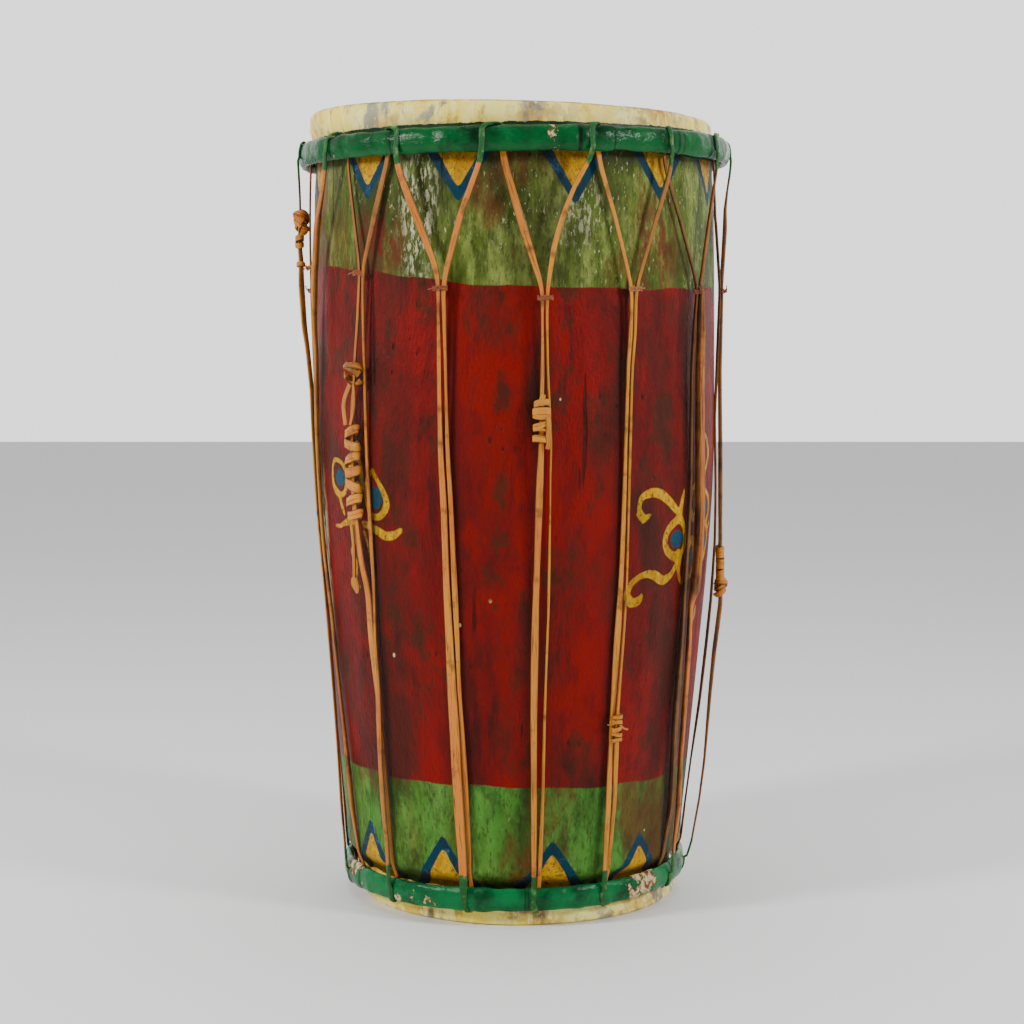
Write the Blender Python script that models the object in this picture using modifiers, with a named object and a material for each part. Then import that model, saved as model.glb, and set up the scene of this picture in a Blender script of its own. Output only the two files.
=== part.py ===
"""Two-headed laced drum: a hollowed, tapered wooden shell that stands on its smaller end.

A rawhide head closes each end. Each head is held by a hoop, and split-rattan lacing zigzags
between the hoops. Two strands rise side by side from each foot, a binding gathers them high up,
and above it they part like the arms of a Y to the upper hoop.

Metres, +Z up. The origin is at the centre of the underside and the front faces -Y.
Azimuths are in degrees, counted from the front towards +X.
"""

import math
from itertools import pairwise

import bmesh
import bpy
from mathutils import Matrix, Vector

# Shell
DRUM_HEIGHT = 0.610
WALL = 0.018
BELLY_RADIUS = 0.1586
BELLY_HEIGHT = 0.360
UPPER_RADIUS = 0.1572
LOWER_RADIUS = 0.1342
UPPER_REBATE = 0.0017
LOWER_REBATE = 0.0102
UPPER_SHOULDER_LENGTH = 0.026
LOWER_SHOULDER_LENGTH = 0.014
RIM_ROUNDING = 0.004
TAPER_ROUNDING = 0.3
RIM_SLANT = -0.022

# Heads
SKIN = 0.0013
HEM_ABOVE_HOOP_EDGE = 0.003

# Hoops: how far their centres are from the drum's ends, and their oval section
UPPER_HOOP_DROP = 0.028
LOWER_HOOP_RISE = 0.0217
UPPER_HOOP_WIDTH = 0.0094
UPPER_HOOP_DEPTH = 0.0210
LOWER_HOOP_WIDTH = 0.0086
LOWER_HOOP_DEPTH = 0.0192
UPPER_HOOP_SLANT = 0.010
LOWER_HOOP_SLANT = 0.012

# Lacing
LACE_THICKNESS = 0.0022
ARM_WIDTH = 0.0058
TIE_WIDTH = 0.0048
FOOT_WIDTH = 0.0066
PAIR_GAP = 0.0005
TIE_STANDOFF = 0.0060
TIE_BAND_HEIGHT = 0.0050
TIE_BAND_WALL = 0.0014
KNOT_STRIP_WIDTH = 0.0046
KNOT_PITCH = 0.0066
KNOT_LOOSENESS = 0.0008
KNOT_SPREAD = 1.2

GAP = 0.0003
SIDES = 40
FACET = math.cos(math.pi / SIDES)
RIM_ANGLES = tuple(math.radians(angle) for angle in (90, 45, 0))

# Corners of a hoop's oval, numbered from its outer side over the top, that the lace bends round
HOOP_SECTION_SIDES = 10
OVER_FROM_FRONT = (0, 1, 2, 3)
OVER_FROM_BEHIND = (5, 4, 3, 2)
UNDER_TO_FRONT = (7, 8, 9, 10)
UNDER_TO_BEHIND = (8, 7, 6, 5)

# The seven pairs that face the front, from left to right: azimuth of the binding, azimuth of
# the foot, and distance of the binding below the upper hoop
FRONT_PAIRS = (
    (-73.3, -73.5, 0.088),
    (-44.6, -44.0, 0.094),
    (-19.0, -14.4, 0.106),
    (7.8, 7.8, 0.113),
    (32.5, 32.1, 0.106),
    (57.1, 63.0, 0.107),
    (84.5, 85.0, 0.105),
)
BACK_PAIRS = 7
BACK_TIE_DROP = 0.104

# Where the lace crosses the upper hoop between one front pair and the next
FRONT_CROSSINGS = (-53.3, -34.0, -4.5, 22.2, 43.4, 69.3)
LAST_CROSSING = 276.0
# Crossings where the right-hand arm passes behind the hoop, and pairs whose right-hand strand
# passes in front of the lower hoop, by pair number
BEHIND_CROSSINGS = (2, 14)
RIGHT_FRONT_FEET = (6, 7)

# Knots that join two lengths of rattan: pair, side, distance below the upper hoop, number of
# turns, and how far the knot holds the strand away from its neighbour
KNOTS = (
    (2, "left", 0.249, 11, 0.0080),
    (4, "left", 0.205, 6, 0.0004),
    (1, "left", 0.062, 4, 0.0),
    (7, "right", 0.325, 6, 0.0008),
    (5, "right", 0.430, 4, 0.0006),
)

WOOD_RED = (0.20, 0.012, 0.007)
RAWHIDE = (0.62, 0.50, 0.30)
HOOP_GREEN = (0.006, 0.16, 0.062)
RATTAN = (0.50, 0.24, 0.075)
BINDING = (0.36, 0.17, 0.08)


# Frame of the drum


def polar(azimuth, radius, height):
    """Point at an azimuth in degrees, counted from the front (-Y) towards +X."""
    turn = math.radians(azimuth)
    return Vector((radius * math.sin(turn), -radius * math.cos(turn), height))


def outward(azimuth):
    """Unit vector that points straight out of the drum at an azimuth."""
    return polar(azimuth, 1.0, 0.0)


def sideways(length, radius):
    """Azimuth step, in degrees, that covers a length along a circle."""
    return math.degrees(length / radius)


def half_cosine(share):
    share = min(max(share, 0.0), 1.0)
    return (1.0 - math.cos(math.pi * share)) / 2.0


# Sizes that follow from the driving ones: skin, lace and hoop lie one outside the other

UPPER_SEAT_RADIUS = UPPER_RADIUS - UPPER_REBATE
LOWER_SEAT_RADIUS = LOWER_RADIUS - LOWER_REBATE
UPPER_HOOP_HEIGHT = DRUM_HEIGHT - UPPER_HOOP_DROP
UPPER_HEM = UPPER_HOOP_HEIGHT - UPPER_HOOP_DEPTH / 2 + HEM_ABOVE_HOOP_EDGE
LOWER_HEM = LOWER_HOOP_RISE + LOWER_HOOP_DEPTH / 2 - HEM_ABOVE_HOOP_EDGE
LOWER_SHOULDER = (LOWER_HEM + GAP, LOWER_HEM + GAP + LOWER_SHOULDER_LENGTH)
UPPER_SHOULDER = (UPPER_HEM - GAP - UPPER_SHOULDER_LENGTH, UPPER_HEM - GAP)


class Hoop:
    """Oval-section ring that holds a head down, with the lace running round it."""

    def __init__(self, height, seat_radius, width, depth, slant):
        skirt = seat_radius + GAP + SKIN
        lace_outside = skirt + GAP + LACE_THICKNESS
        inside = (lace_outside + GAP) / FACET
        self.height = height
        self.width = width
        self.depth = depth
        self.slant = slant
        self.radius = inside + width / 2
        self.facet_sag = self.radius * (1 - FACET)

    def section(self):
        """Corners of the oval, as distance out and up from its centre, from the outer side up."""
        step = 2 * math.pi / HOOP_SECTION_SIDES
        return [
            Vector((math.cos(step * i) * self.width / 2, math.sin(step * i) * self.depth / 2))
            for i in range(HOOP_SECTION_SIDES)
        ]

    def wrap(self, corner):
        """Lace centreline beside one corner of the oval, as (radius, height, way out)."""
        corners = self.section()
        here = corners[corner % HOOP_SECTION_SIDES]
        before = corners[(corner - 1) % HOOP_SECTION_SIDES]
        after = corners[(corner + 1) % HOOP_SECTION_SIDES]
        first = (here - before).normalized()
        second = (after - here).normalized()
        first = Vector((first.y, -first.x))
        second = Vector((second.y, -second.x))
        push = (first + second) / (1 + first.dot(second))
        spot = here + push * (GAP + LACE_THICKNESS / 2)
        sag = self.facet_sag if here.x < -1e-9 else 0.0
        return self.radius + spot.x - sag, self.height + spot.y, push.normalized()

    def tilted(self, point):
        """The point, raised with the hoop's slant across the drum."""
        return point + Vector((0, 0, self.slant * point.x))


UPPER_HOOP = Hoop(
    UPPER_HOOP_HEIGHT, UPPER_SEAT_RADIUS, UPPER_HOOP_WIDTH, UPPER_HOOP_DEPTH, UPPER_HOOP_SLANT
)
LOWER_HOOP = Hoop(
    LOWER_HOOP_RISE, LOWER_SEAT_RADIUS, LOWER_HOOP_WIDTH, LOWER_HOOP_DEPTH, LOWER_HOOP_SLANT
)


def shell_radius(height):
    """Outer radius of the shell: seats at both ends, a belly, and a straight taper below it."""
    lower_seat, lower_shoulder = LOWER_SHOULDER
    upper_shoulder, upper_seat = UPPER_SHOULDER
    if height < lower_shoulder:
        rise = half_cosine((height - lower_seat) / (lower_shoulder - lower_seat))
        return LOWER_SEAT_RADIUS + (LOWER_RADIUS - LOWER_SEAT_RADIUS) * rise
    if height > upper_shoulder:
        rise = half_cosine((height - upper_shoulder) / (upper_seat - upper_shoulder))
        return UPPER_RADIUS + (UPPER_SEAT_RADIUS - UPPER_RADIUS) * rise
    if height > BELLY_HEIGHT:
        share = (height - BELLY_HEIGHT) / (upper_shoulder - BELLY_HEIGHT)
        return BELLY_RADIUS - (BELLY_RADIUS - UPPER_RADIUS) * share**2
    share = (BELLY_HEIGHT - height) / (BELLY_HEIGHT - lower_shoulder)
    bend = TAPER_ROUNDING
    drop = (math.hypot(share, bend) - bend) / (math.hypot(1.0, bend) - bend)
    return BELLY_RADIUS - (BELLY_RADIUS - LOWER_RADIUS) * drop


def spread(low, high, count):
    """Evenly spaced heights from low up to high, both ends included."""
    return [low + (high - low) * i / (count - 1) for i in range(count)]


def shell_heights():
    """Heights at which the outer side of the shell turns, from the bottom up."""
    return [
        *spread(LOWER_SHOULDER[0], LOWER_SHOULDER[1], 4),
        *spread(LOWER_SHOULDER[1], BELLY_HEIGHT, 6)[1:],
        *spread(BELLY_HEIGHT, UPPER_SHOULDER[0], 3)[1:],
        *spread(UPPER_SHOULDER[0], UPPER_SHOULDER[1], 3)[1:],
    ]


def clear_radius(height, lift):
    """Radius at which something stays a distance off the sloping side of the shell."""
    step = 0.002
    slope = (shell_radius(height + step) - shell_radius(height - step)) / (2 * step)
    return shell_radius(height) + lift * math.hypot(1.0, slope)


def slanted(point):
    """The point, tipped with the shell's upper rim, which was sawn a little out of square."""
    low = UPPER_HOOP_HEIGHT - UPPER_HOOP_DEPTH
    share = min(max((point.z - low) / (DRUM_HEIGHT - low), 0.0), 1.0)
    return point + Vector((0, 0, RIM_SLANT * share * point.x))


# Blender helpers


def clear_scene():
    for item in list(bpy.data.objects):
        bpy.data.objects.remove(item, do_unlink=True)


def new_collection(name):
    collection = bpy.data.collections.new(name)
    bpy.context.scene.collection.children.link(collection)
    return collection


def paint(name, colour, roughness):
    """Principled material with a plain colour."""
    material = bpy.data.materials.new(name)
    material.use_nodes = True
    shader = material.node_tree.nodes["Principled BSDF"]
    shader.inputs["Base Color"].default_value = (*colour, 1.0)
    shader.inputs["Roughness"].default_value = roughness
    shader.inputs["Metallic"].default_value = 0.0
    return material


def add_object(name, data, material, collection):
    item = bpy.data.objects.new(name, data)
    data.materials.append(material)
    collection.objects.link(item)
    return item


def smooth_round(mesh):
    mesh.shade_smooth()
    mesh.set_sharp_from_angle(angle=math.radians(35))


def turned(name, profile, closed, material, collection):
    """Solid of revolution from a profile of (radius, height), run top to bottom outside."""
    mesh = bpy.data.meshes.new(name)
    corners = [(radius, 0.0, height) for radius, height in profile]
    edges = [(i, i + 1) for i in range(len(corners) - 1)]
    if closed:
        edges.append((len(corners) - 1, 0))
    mesh.from_pydata(corners, edges, [])
    item = add_object(name, mesh, material, collection)
    screw = item.modifiers.new("turn", "SCREW")
    screw.axis = "Z"
    screw.angle = 2 * math.pi
    screw.steps = SIDES
    screw.render_steps = SIDES
    screw.use_merge_vertices = True
    screw.merge_threshold = 0.00001
    screw.use_smooth_shade = False
    return item


def settled(item, move):
    """The object with its modifiers made real and each point of its mesh moved by a function."""
    graph = bpy.context.evaluated_depsgraph_get()
    mesh = bpy.data.meshes.new_from_object(item.evaluated_get(graph))
    item.modifiers.clear()
    item.data = mesh
    for corner in mesh.vertices:
        corner.co = move(corner.co)
    smooth_round(mesh)
    return item


# Shell and heads


def build_shell(material, collection):
    """Hollowed log, open at both ends, with its rims rounded on the outside."""
    top = DRUM_HEIGHT - SKIN - GAP
    bottom = SKIN + GAP
    upper_rim = [
        (
            UPPER_SEAT_RADIUS - RIM_ROUNDING * (1 - math.cos(angle)),
            top - RIM_ROUNDING * (1 - math.sin(angle)),
        )
        for angle in RIM_ANGLES
    ]
    lower_rim = [
        (
            LOWER_SEAT_RADIUS - RIM_ROUNDING * (1 - math.cos(angle)),
            bottom + RIM_ROUNDING * (1 - math.sin(angle)),
        )
        for angle in reversed(RIM_ANGLES)
    ]
    side = [(shell_radius(height), height) for height in reversed(shell_heights())]
    bore = [
        (shell_radius(height) - WALL, height)
        for height in (bottom, LOWER_SHOULDER[1], BELLY_HEIGHT, top)
    ]
    profile = upper_rim + side + lower_rim + bore
    return settled(turned("shell", profile, True, material, collection), slanted)


def build_head(name, upper, material, collection):
    """Rawhide cap: a flat membrane, a rounded edge and a skirt that runs in under the hoop."""
    outside = (UPPER_SEAT_RADIUS if upper else LOWER_SEAT_RADIUS) + GAP + SKIN
    face, hem, inward = (DRUM_HEIGHT, UPPER_HEM, -1) if upper else (0.0, LOWER_HEM, 1)
    bend = RIM_ROUNDING + GAP + SKIN
    outer = [(0.0, face)]
    outer += [
        (outside - bend * (1 - math.cos(a)), face + inward * bend * (1 - math.sin(a)))
        for a in RIM_ANGLES
    ]
    outer.append((outside, hem))
    bend -= SKIN
    inside = outside - SKIN
    inner = [(inside, hem)]
    inner += [
        (
            inside - bend * (1 - math.cos(a)),
            face + inward * (SKIN + bend * (1 - math.sin(a))),
        )
        for a in reversed(RIM_ANGLES)
    ]
    inner.append((0.0, face + inward * SKIN))
    profile = outer + inner
    if not upper:
        profile.reverse()
    item = turned(name, profile, False, material, collection)
    return settled(item, slanted if upper else Vector)


def build_hoop(name, hoop, material, collection):
    """Ring of oval section, slightly tilted on the drum."""
    profile = [(hoop.radius + out.x, hoop.height + out.y) for out in reversed(hoop.section())]
    return settled(turned(name, profile, True, material, collection), hoop.tilted)


# Lacing


class Pair:
    """Two strands that share a foot and a binding."""

    def __init__(self, number, tie_azimuth, foot_azimuth, tie_drop):
        self.number = number
        self.tie_azimuth = tie_azimuth
        self.foot_azimuth = foot_azimuth
        self.tie_height = UPPER_HOOP_HEIGHT - tie_drop
        self.tie_radius = shell_radius(self.tie_height) + TIE_STANDOFF
        self.left_crossing = 0.0
        self.right_crossing = 0.0


def lacing_pairs():
    """All pairs, numbered from the left of the front round by the right and the back."""
    rows = list(FRONT_PAIRS)
    step = (360 + FRONT_PAIRS[0][0] - FRONT_PAIRS[-1][0]) / (BACK_PAIRS + 1)
    for i in range(1, BACK_PAIRS + 1):
        azimuth = FRONT_PAIRS[-1][0] + step * i
        rows.append((azimuth, azimuth + 1.5 * math.sin(2.3 * i), BACK_TIE_DROP))
    pairs = [Pair(i + 1, *row) for i, row in enumerate(rows)]
    crossings = list(FRONT_CROSSINGS)
    for near, far in pairwise(pairs[len(crossings) :]):
        crossings.append((near.tie_azimuth + far.tie_azimuth) / 2)
    crossings.append(LAST_CROSSING)
    for i, pair in enumerate(pairs):
        pair.right_crossing = crossings[i]
        pair.left_crossing = crossings[i - 1] - (0 if i else 360)
    return pairs


def knot_of(pair, side):
    for row in KNOTS:
        if row[0] == pair.number and row[1] == side:
            return row
    return None


def knot_range(row):
    """Lowest and highest point of a knot on its strand."""
    _, _, drop, turns, _ = row
    middle = UPPER_HOOP_HEIGHT - drop
    reach = (turns + 1) * KNOT_PITCH / 2
    return middle - reach, middle + reach


def taut(points):
    """The outer hull of (height, radius) points, as a tight string would run over them."""
    run = []
    for point in sorted(points):
        while len(run) > 1:
            (h0, r0), (h1, r1) = run[-2], run[-1]
            if (r1 - r0) * (point[0] - h0) > (point[1] - r0) * (h1 - h0):
                break
            run.pop()
        run.append(point)
    return run


def knot_reach():
    """Half sizes of a knot's coil, sideways and outward, to the middle of its strip."""
    lift = KNOT_LOOSENESS + LACE_THICKNESS / 2
    return FOOT_WIDTH / 2 * KNOT_SPREAD + lift, LACE_THICKNESS * KNOT_SPREAD + lift


class Strand:
    """One strand of a pair, from under the lower hoop to the crest of the upper hoop."""

    def __init__(self, pair, side):
        self.pair = pair
        self.side = side
        self.sign = -1 if side == "left" else 1
        self.knot = knot_of(pair, side)
        above = pair.number if side == "right" else (pair.number - 2) % 14 + 1
        right_arm_in_front = above not in BEHIND_CROSSINGS
        self.front_above = right_arm_in_front == (side == "right")
        right_foot_in_front = pair.number in RIGHT_FRONT_FEET
        self.front_below = right_foot_in_front == (side == "right")
        self.name = f"strand_{pair.number:02d}_{side}"

    def stem_azimuth(self, height):
        """Azimuth of the strand between its foot and its binding."""
        pair = self.pair
        low = LOWER_HOOP_RISE
        share = (height - low) / (pair.tie_height - low)
        half = ((1 - share) * FOOT_WIDTH + share * TIE_WIDTH + PAIR_GAP) / 2
        middle = (1 - share) * pair.foot_azimuth + share * pair.tie_azimuth
        push = self.sign * half
        if self.knot:
            low_end, high_end = knot_range(self.knot)
            top = pair.tie_height - TIE_BAND_HEIGHT
            if high_end < top:
                above = (top - height) / (top - high_end)
                below = (height - low) / (low_end - low)
                weight = min(max(min(above, below), 0.0), 1.0)
                coil = knot_reach()[0] + LACE_THICKNESS / 2 + GAP - PAIR_GAP - FOOT_WIDTH / 2
                push += self.sign * (coil + self.knot[4]) * weight
        return middle + sideways(push, shell_radius(height))

    def stem(self):
        """Centreline points of the stem, from the lower hoop to just under the binding."""
        pair = self.pair
        top = pair.tie_height - TIE_BAND_HEIGHT
        lift = GAP + LACE_THICKNESS / 2
        shoulder = LOWER_SHOULDER[1]
        run = [(h, clear_radius(h, lift)) for h in shell_heights() if shoulder <= h < top]
        if self.knot and knot_range(self.knot)[1] < top:
            depth = knot_reach()[1] + LACE_THICKNESS / 2 + GAP
            run += [(h, clear_radius(h, depth)) for h in spread(*knot_range(self.knot), 3)]
        if self.front_below:
            radius, height, _ = LOWER_HOOP.wrap(0)
            run.append((height, radius))
        run = taut([*run, (top, pair.tie_radius)])
        if not self.front_below:
            bends = [h for h in shell_heights() if h < shoulder][1:]
            run = [(h, clear_radius(h, lift)) for h in bends] + run
        else:
            run = run[1:]
        points = [(polar(self.stem_azimuth(h), r, h), h) for h, r in run]
        return [
            (p, outward(self.stem_azimuth(h)), self.stem_width(h)) for p, h in points
        ]

    def stem_width(self, height):
        share = (height - LOWER_HOOP_RISE) / (self.pair.tie_height - LOWER_HOOP_RISE)
        return FOOT_WIDTH + (TIE_WIDTH - FOOT_WIDTH) * share

    def turn(self, hoop, corners, azimuth, width, cut):
        """Points of the lace round part of a hoop, its free end cut midway along a flat."""
        points = []
        facing = 1 if corners in (OVER_FROM_FRONT, UNDER_TO_FRONT) else -1
        for corner in corners:
            radius, height, push = hoop.wrap(corner)
            normal = (outward(azimuth) * push.x + Vector((0, 0, push.y))) * facing
            points.append([hoop.tilted(polar(azimuth, radius, height)), normal, width])
        (end, _, _), (neighbour, _, _) = points[cut], points[1 if cut == 0 else -2]
        way = neighbour - end
        points[cut][0] = end + way.normalized() * (way.length + GAP) / 2
        return [tuple(p) for p in points]

    def arm(self, crossing, crest):
        """Centreline points of the arm, from just above the binding to just below the hoop."""
        pair = self.pair
        low = pair.tie_height + TIE_BAND_HEIGHT
        high = crest.z
        lift = GAP + LACE_THICKNESS / 2
        run = [(h, clear_radius(h, lift)) for h in shell_heights() if low < h < high - lift]
        ends = (low, pair.tie_radius), (high, math.hypot(crest.x, crest.y))
        start = self.stem_azimuth(pair.tie_height)
        points = []
        for height, radius in taut([*run, *ends])[:-1]:
            share = (height - low) / (high - low)
            azimuth = start + (crossing - start) * share
            width = TIE_WIDTH + (ARM_WIDTH - TIE_WIDTH) * share
            points.append((polar(azimuth, radius, height), outward(azimuth), width))
        return points

    def parts(self):
        """The strand's foot, its run between the hoops, and its head."""
        pair = self.pair
        foot_corners = UNDER_TO_FRONT if self.front_below else UNDER_TO_BEHIND
        head_corners = OVER_FROM_FRONT if self.front_above else OVER_FROM_BEHIND
        foot_azimuth = self.stem_azimuth(LOWER_HOOP_RISE)
        foot = self.turn(LOWER_HOOP, foot_corners, foot_azimuth, FOOT_WIDTH, 0)
        crossing = pair.right_crossing if self.side == "right" else pair.left_crossing
        crossing -= self.sign * sideways((ARM_WIDTH + PAIR_GAP) / 2, UPPER_HOOP.radius)
        head = self.turn(UPPER_HOOP, head_corners, crossing, ARM_WIDTH, -1)
        return foot, self.stem() + self.arm(crossing, head[0][0]), head

    def path(self):
        """The whole centreline, as (point, way out, width)."""
        foot, run, head = self.parts()
        return foot + run + head

    def at_height(self, height):
        """Point, direction and way out of the strand where it passes a height."""
        foot, run, head = self.parts()
        for (low, n0, _), (high, n1, _) in pairwise([foot[-1], *run, head[0]]):
            if low.z <= height < high.z:
                share = (height - low.z) / (high.z - low.z)
                way_out = n0.lerp(n1, share).normalized()
                return low.lerp(high, share), (high - low).normalized(), way_out
        raise ValueError(f"{self.name} has no stretch at height {height:.4f}")


def flat_strip(name, path, material, collection):
    """Flat strip along a path: a ribbon of quads with Solidify for its thickness."""
    mesh = bmesh.new()
    rows = []
    for i, (point, normal, width) in enumerate(path):
        before = path[max(i - 1, 0)][0]
        after = path[min(i + 1, len(path) - 1)][0]
        back = point - before
        on = after - point
        along = (back.normalized() + on.normalized()).normalized()
        across = along.cross(normal).normalized() * width / 2
        rows.append((mesh.verts.new(point - across), mesh.verts.new(point + across)))
    for (a, b), (c, d) in pairwise(rows):
        mesh.faces.new((a, b, d, c))
    data = bpy.data.meshes.new(name)
    mesh.to_mesh(data)
    mesh.free()
    item = add_object(name, data, material, collection)
    thick = item.modifiers.new("thickness", "SOLIDIFY")
    thick.thickness = LACE_THICKNESS
    thick.offset = 0.0
    thick.use_even_offset = True
    return item


def rectangle(half_width, half_depth):
    return [(x * half_width, y * half_depth) for x, y in ((1, 1), (-1, 1), (-1, -1), (1, -1))]


def cut_corners(half_width, half_depth, cut):
    """Outline of a rectangle whose four corners are cut off."""
    outline = []
    for i, (x, y) in enumerate(rectangle(half_width, half_depth)):
        along = (x, y - math.copysign(cut, y))
        across = (x - math.copysign(cut, x), y)
        outline += [along, across] if i % 2 == 0 else [across, along]
    return outline


def build_binding(pair, material, collection):
    """Flat band of binding round the two strands of a pair."""
    curve = bpy.data.curves.new(f"binding_{pair.number:02d}", "CURVE")
    curve.dimensions = "2D"
    curve.fill_mode = "BOTH"
    curve.extrude = TIE_BAND_HEIGHT / 2
    half_width = TIE_WIDTH + PAIR_GAP / 2 + 2 * GAP
    half_depth = LACE_THICKNESS / 2 + 2 * GAP
    outside = half_width + TIE_BAND_WALL, half_depth + TIE_BAND_WALL
    for outline in (cut_corners(*outside, TIE_BAND_WALL), rectangle(half_width, half_depth)):
        spline = curve.splines.new("POLY")
        spline.points.add(len(outline) - 1)
        for target, (x, y) in zip(spline.points, outline, strict=True):
            target.co = (x, y, 0.0, 1.0)
        spline.use_cyclic_u = True
    item = add_object(curve.name, curve, material, collection)
    item.location = polar(pair.tie_azimuth, pair.tie_radius, pair.tie_height)
    item.rotation_euler = (0.0, 0.0, math.radians(pair.tie_azimuth))
    return item


def build_knot(number, strand, material, collection):
    """Strip coiled round a strand where two lengths of rattan are joined."""
    low, high = knot_range(strand.knot)
    per_turn = 6
    half_width, half_depth = knot_reach()
    count = strand.knot[3] * per_turn + 1
    margin = KNOT_STRIP_WIDTH / 2
    path = []
    for i, height in enumerate(spread(low + margin, high - margin, count)):
        centre, along, normal = strand.at_height(height)
        across = along.cross(normal).normalized()
        turn = 2 * math.pi * i / per_turn
        out = across * half_width * math.cos(turn) + normal * half_depth * math.sin(turn)
        path.append((centre + out, out.normalized(), KNOT_STRIP_WIDTH))
    return flat_strip(f"knot_{number:02d}", path, material, collection)


def main():
    clear_scene()
    drum = new_collection("laced_drum")
    red = paint("painted_wood", WOOD_RED, 0.55)
    hide = paint("rawhide", RAWHIDE, 0.5)
    green = paint("hoop_paint", HOOP_GREEN, 0.35)
    cane = paint("rattan", RATTAN, 0.45)
    twine = paint("binding_cane", BINDING, 0.6)

    build_shell(red, drum)
    build_head("upper_head", True, hide, drum)
    build_head("lower_head", False, hide, drum)
    build_hoop("upper_hoop", UPPER_HOOP, green, drum)
    build_hoop("lower_hoop", LOWER_HOOP, green, drum)

    knots = 0
    for pair in lacing_pairs():
        for side in ("left", "right"):
            strand = Strand(pair, side)
            flat_strip(strand.name, strand.path(), cane, drum)
            if strand.knot:
                knots += 1
                build_knot(knots, strand, cane, drum)
        build_binding(pair, twine, drum)


main()
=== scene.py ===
"""Looks of the laced drum: painted shell, rawhide heads, cane hoops and split-rattan lacing.

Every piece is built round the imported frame, in metres, +Z up, with the front towards -Y.
Azimuths are in degrees, counted from the front towards +X.
"""

import logging
import math
from dataclasses import dataclass, field
from enum import Enum
from functools import partial, reduce

import bpy
import numpy as np
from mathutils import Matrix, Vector


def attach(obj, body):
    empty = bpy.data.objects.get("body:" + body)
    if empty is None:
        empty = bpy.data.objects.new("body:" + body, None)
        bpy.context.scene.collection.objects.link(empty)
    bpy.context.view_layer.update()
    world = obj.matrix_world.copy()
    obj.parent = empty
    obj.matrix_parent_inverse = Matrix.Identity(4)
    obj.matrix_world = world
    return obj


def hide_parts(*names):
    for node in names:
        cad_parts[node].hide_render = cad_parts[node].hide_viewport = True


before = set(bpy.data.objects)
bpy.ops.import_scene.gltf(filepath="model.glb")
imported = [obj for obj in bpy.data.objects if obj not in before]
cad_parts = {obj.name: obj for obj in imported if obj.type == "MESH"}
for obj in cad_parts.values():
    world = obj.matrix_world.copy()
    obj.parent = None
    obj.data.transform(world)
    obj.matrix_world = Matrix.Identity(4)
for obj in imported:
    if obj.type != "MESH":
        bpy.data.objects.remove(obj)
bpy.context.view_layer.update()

Couple = tuple[float, float]
Triple = tuple[float, float, float]
Colour = Triple
Array = np.ndarray
Numbers = Array | float
Socket = bpy.types.NodeSocket
Material = bpy.types.Material
Piece = bpy.types.Object

LOG = logging.getLogger("laced_drum")
BODY = "root"


# Sizes shared with the frame


@dataclass(frozen=True)
class DrumSizes:
    """Driving sizes of the drum, as the frame has them."""

    height: float = 0.610
    wall: float = 0.018
    belly_radius: float = 0.1586
    belly_height: float = 0.360
    upper_radius: float = 0.1572
    lower_radius: float = 0.1342
    upper_rebate: float = 0.0017
    lower_rebate: float = 0.0102
    upper_shoulder_length: float = 0.026
    lower_shoulder_length: float = 0.014
    rim_rounding: float = 0.004
    taper_rounding: float = 0.3
    rim_slant: float = -0.022
    skin: float = 0.0013
    hem_above_hoop_edge: float = 0.003
    gap: float = 0.0003
    lace: float = 0.0022
    facet: float = math.cos(math.pi / 40)
    upper_hoop_drop: float = 0.028
    lower_hoop_rise: float = 0.0217
    upper_lean: float = -0.0030
    lower_lean: float = 0.0038

    @property
    def upper_hoop_height(self) -> float:
        """Height of the upper hoop's centre."""
        return self.height - self.upper_hoop_drop

    @property
    def upper_seat(self) -> float:
        """Radius of the seat under the upper skin."""
        return self.upper_radius - self.upper_rebate

    @property
    def lower_seat(self) -> float:
        """Radius of the seat under the lower skin."""
        return self.lower_radius - self.lower_rebate


SIZES = DrumSizes()


@dataclass(frozen=True)
class HoopSizes:
    """One hoop's place and oval section."""

    height: float
    seat: float
    width: float
    depth: float
    slant: float

    @property
    def top(self) -> float:
        """Height of its upper edge."""
        return self.height + self.depth / 2

    @property
    def bottom(self) -> float:
        """Height of its lower edge."""
        return self.height - self.depth / 2

    @property
    def radius(self) -> float:
        """Radius of the ring's centreline."""
        inside = self.seat + 3 * SIZES.gap + SIZES.skin + SIZES.lace
        return inside / SIZES.facet + self.width / 2

    def on_section(self, angle: float, clearance: float) -> Couple:
        """Point beside the oval section.

        Args:
            angle: Radians round the section, 0 on the outer side and a quarter turn on top.
            clearance: Distance off the oval.

        Returns:
            Radius and height of the point, before the hoop's slant.
        """
        out = (self.width / 2 + clearance) * math.cos(angle)
        up = (self.depth / 2 + clearance) * math.sin(angle)
        return self.radius + out, self.height + up


UPPER_HOOP = HoopSizes(SIZES.upper_hoop_height, SIZES.upper_seat, 0.0094, 0.0210, 0.010)
LOWER_HOOP = HoopSizes(SIZES.lower_hoop_rise, SIZES.lower_seat, 0.0086, 0.0192, 0.012)
UPPER_HEM = UPPER_HOOP.bottom + SIZES.hem_above_hoop_edge
LOWER_HEM = LOWER_HOOP.top - SIZES.hem_above_hoop_edge
LACE_LIFT = SIZES.gap + SIZES.lace / 2
LOWER_SHOULDER = (LOWER_HEM + SIZES.gap, LOWER_HEM + SIZES.gap + SIZES.lower_shoulder_length)
UPPER_SHOULDER = (UPPER_HEM - SIZES.gap - SIZES.upper_shoulder_length, UPPER_HEM - SIZES.gap)


def kept(value: Numbers) -> Numbers:
    """Values kept between 0 and 1."""
    return np.clip(value, 0.0, 1.0)


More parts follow.
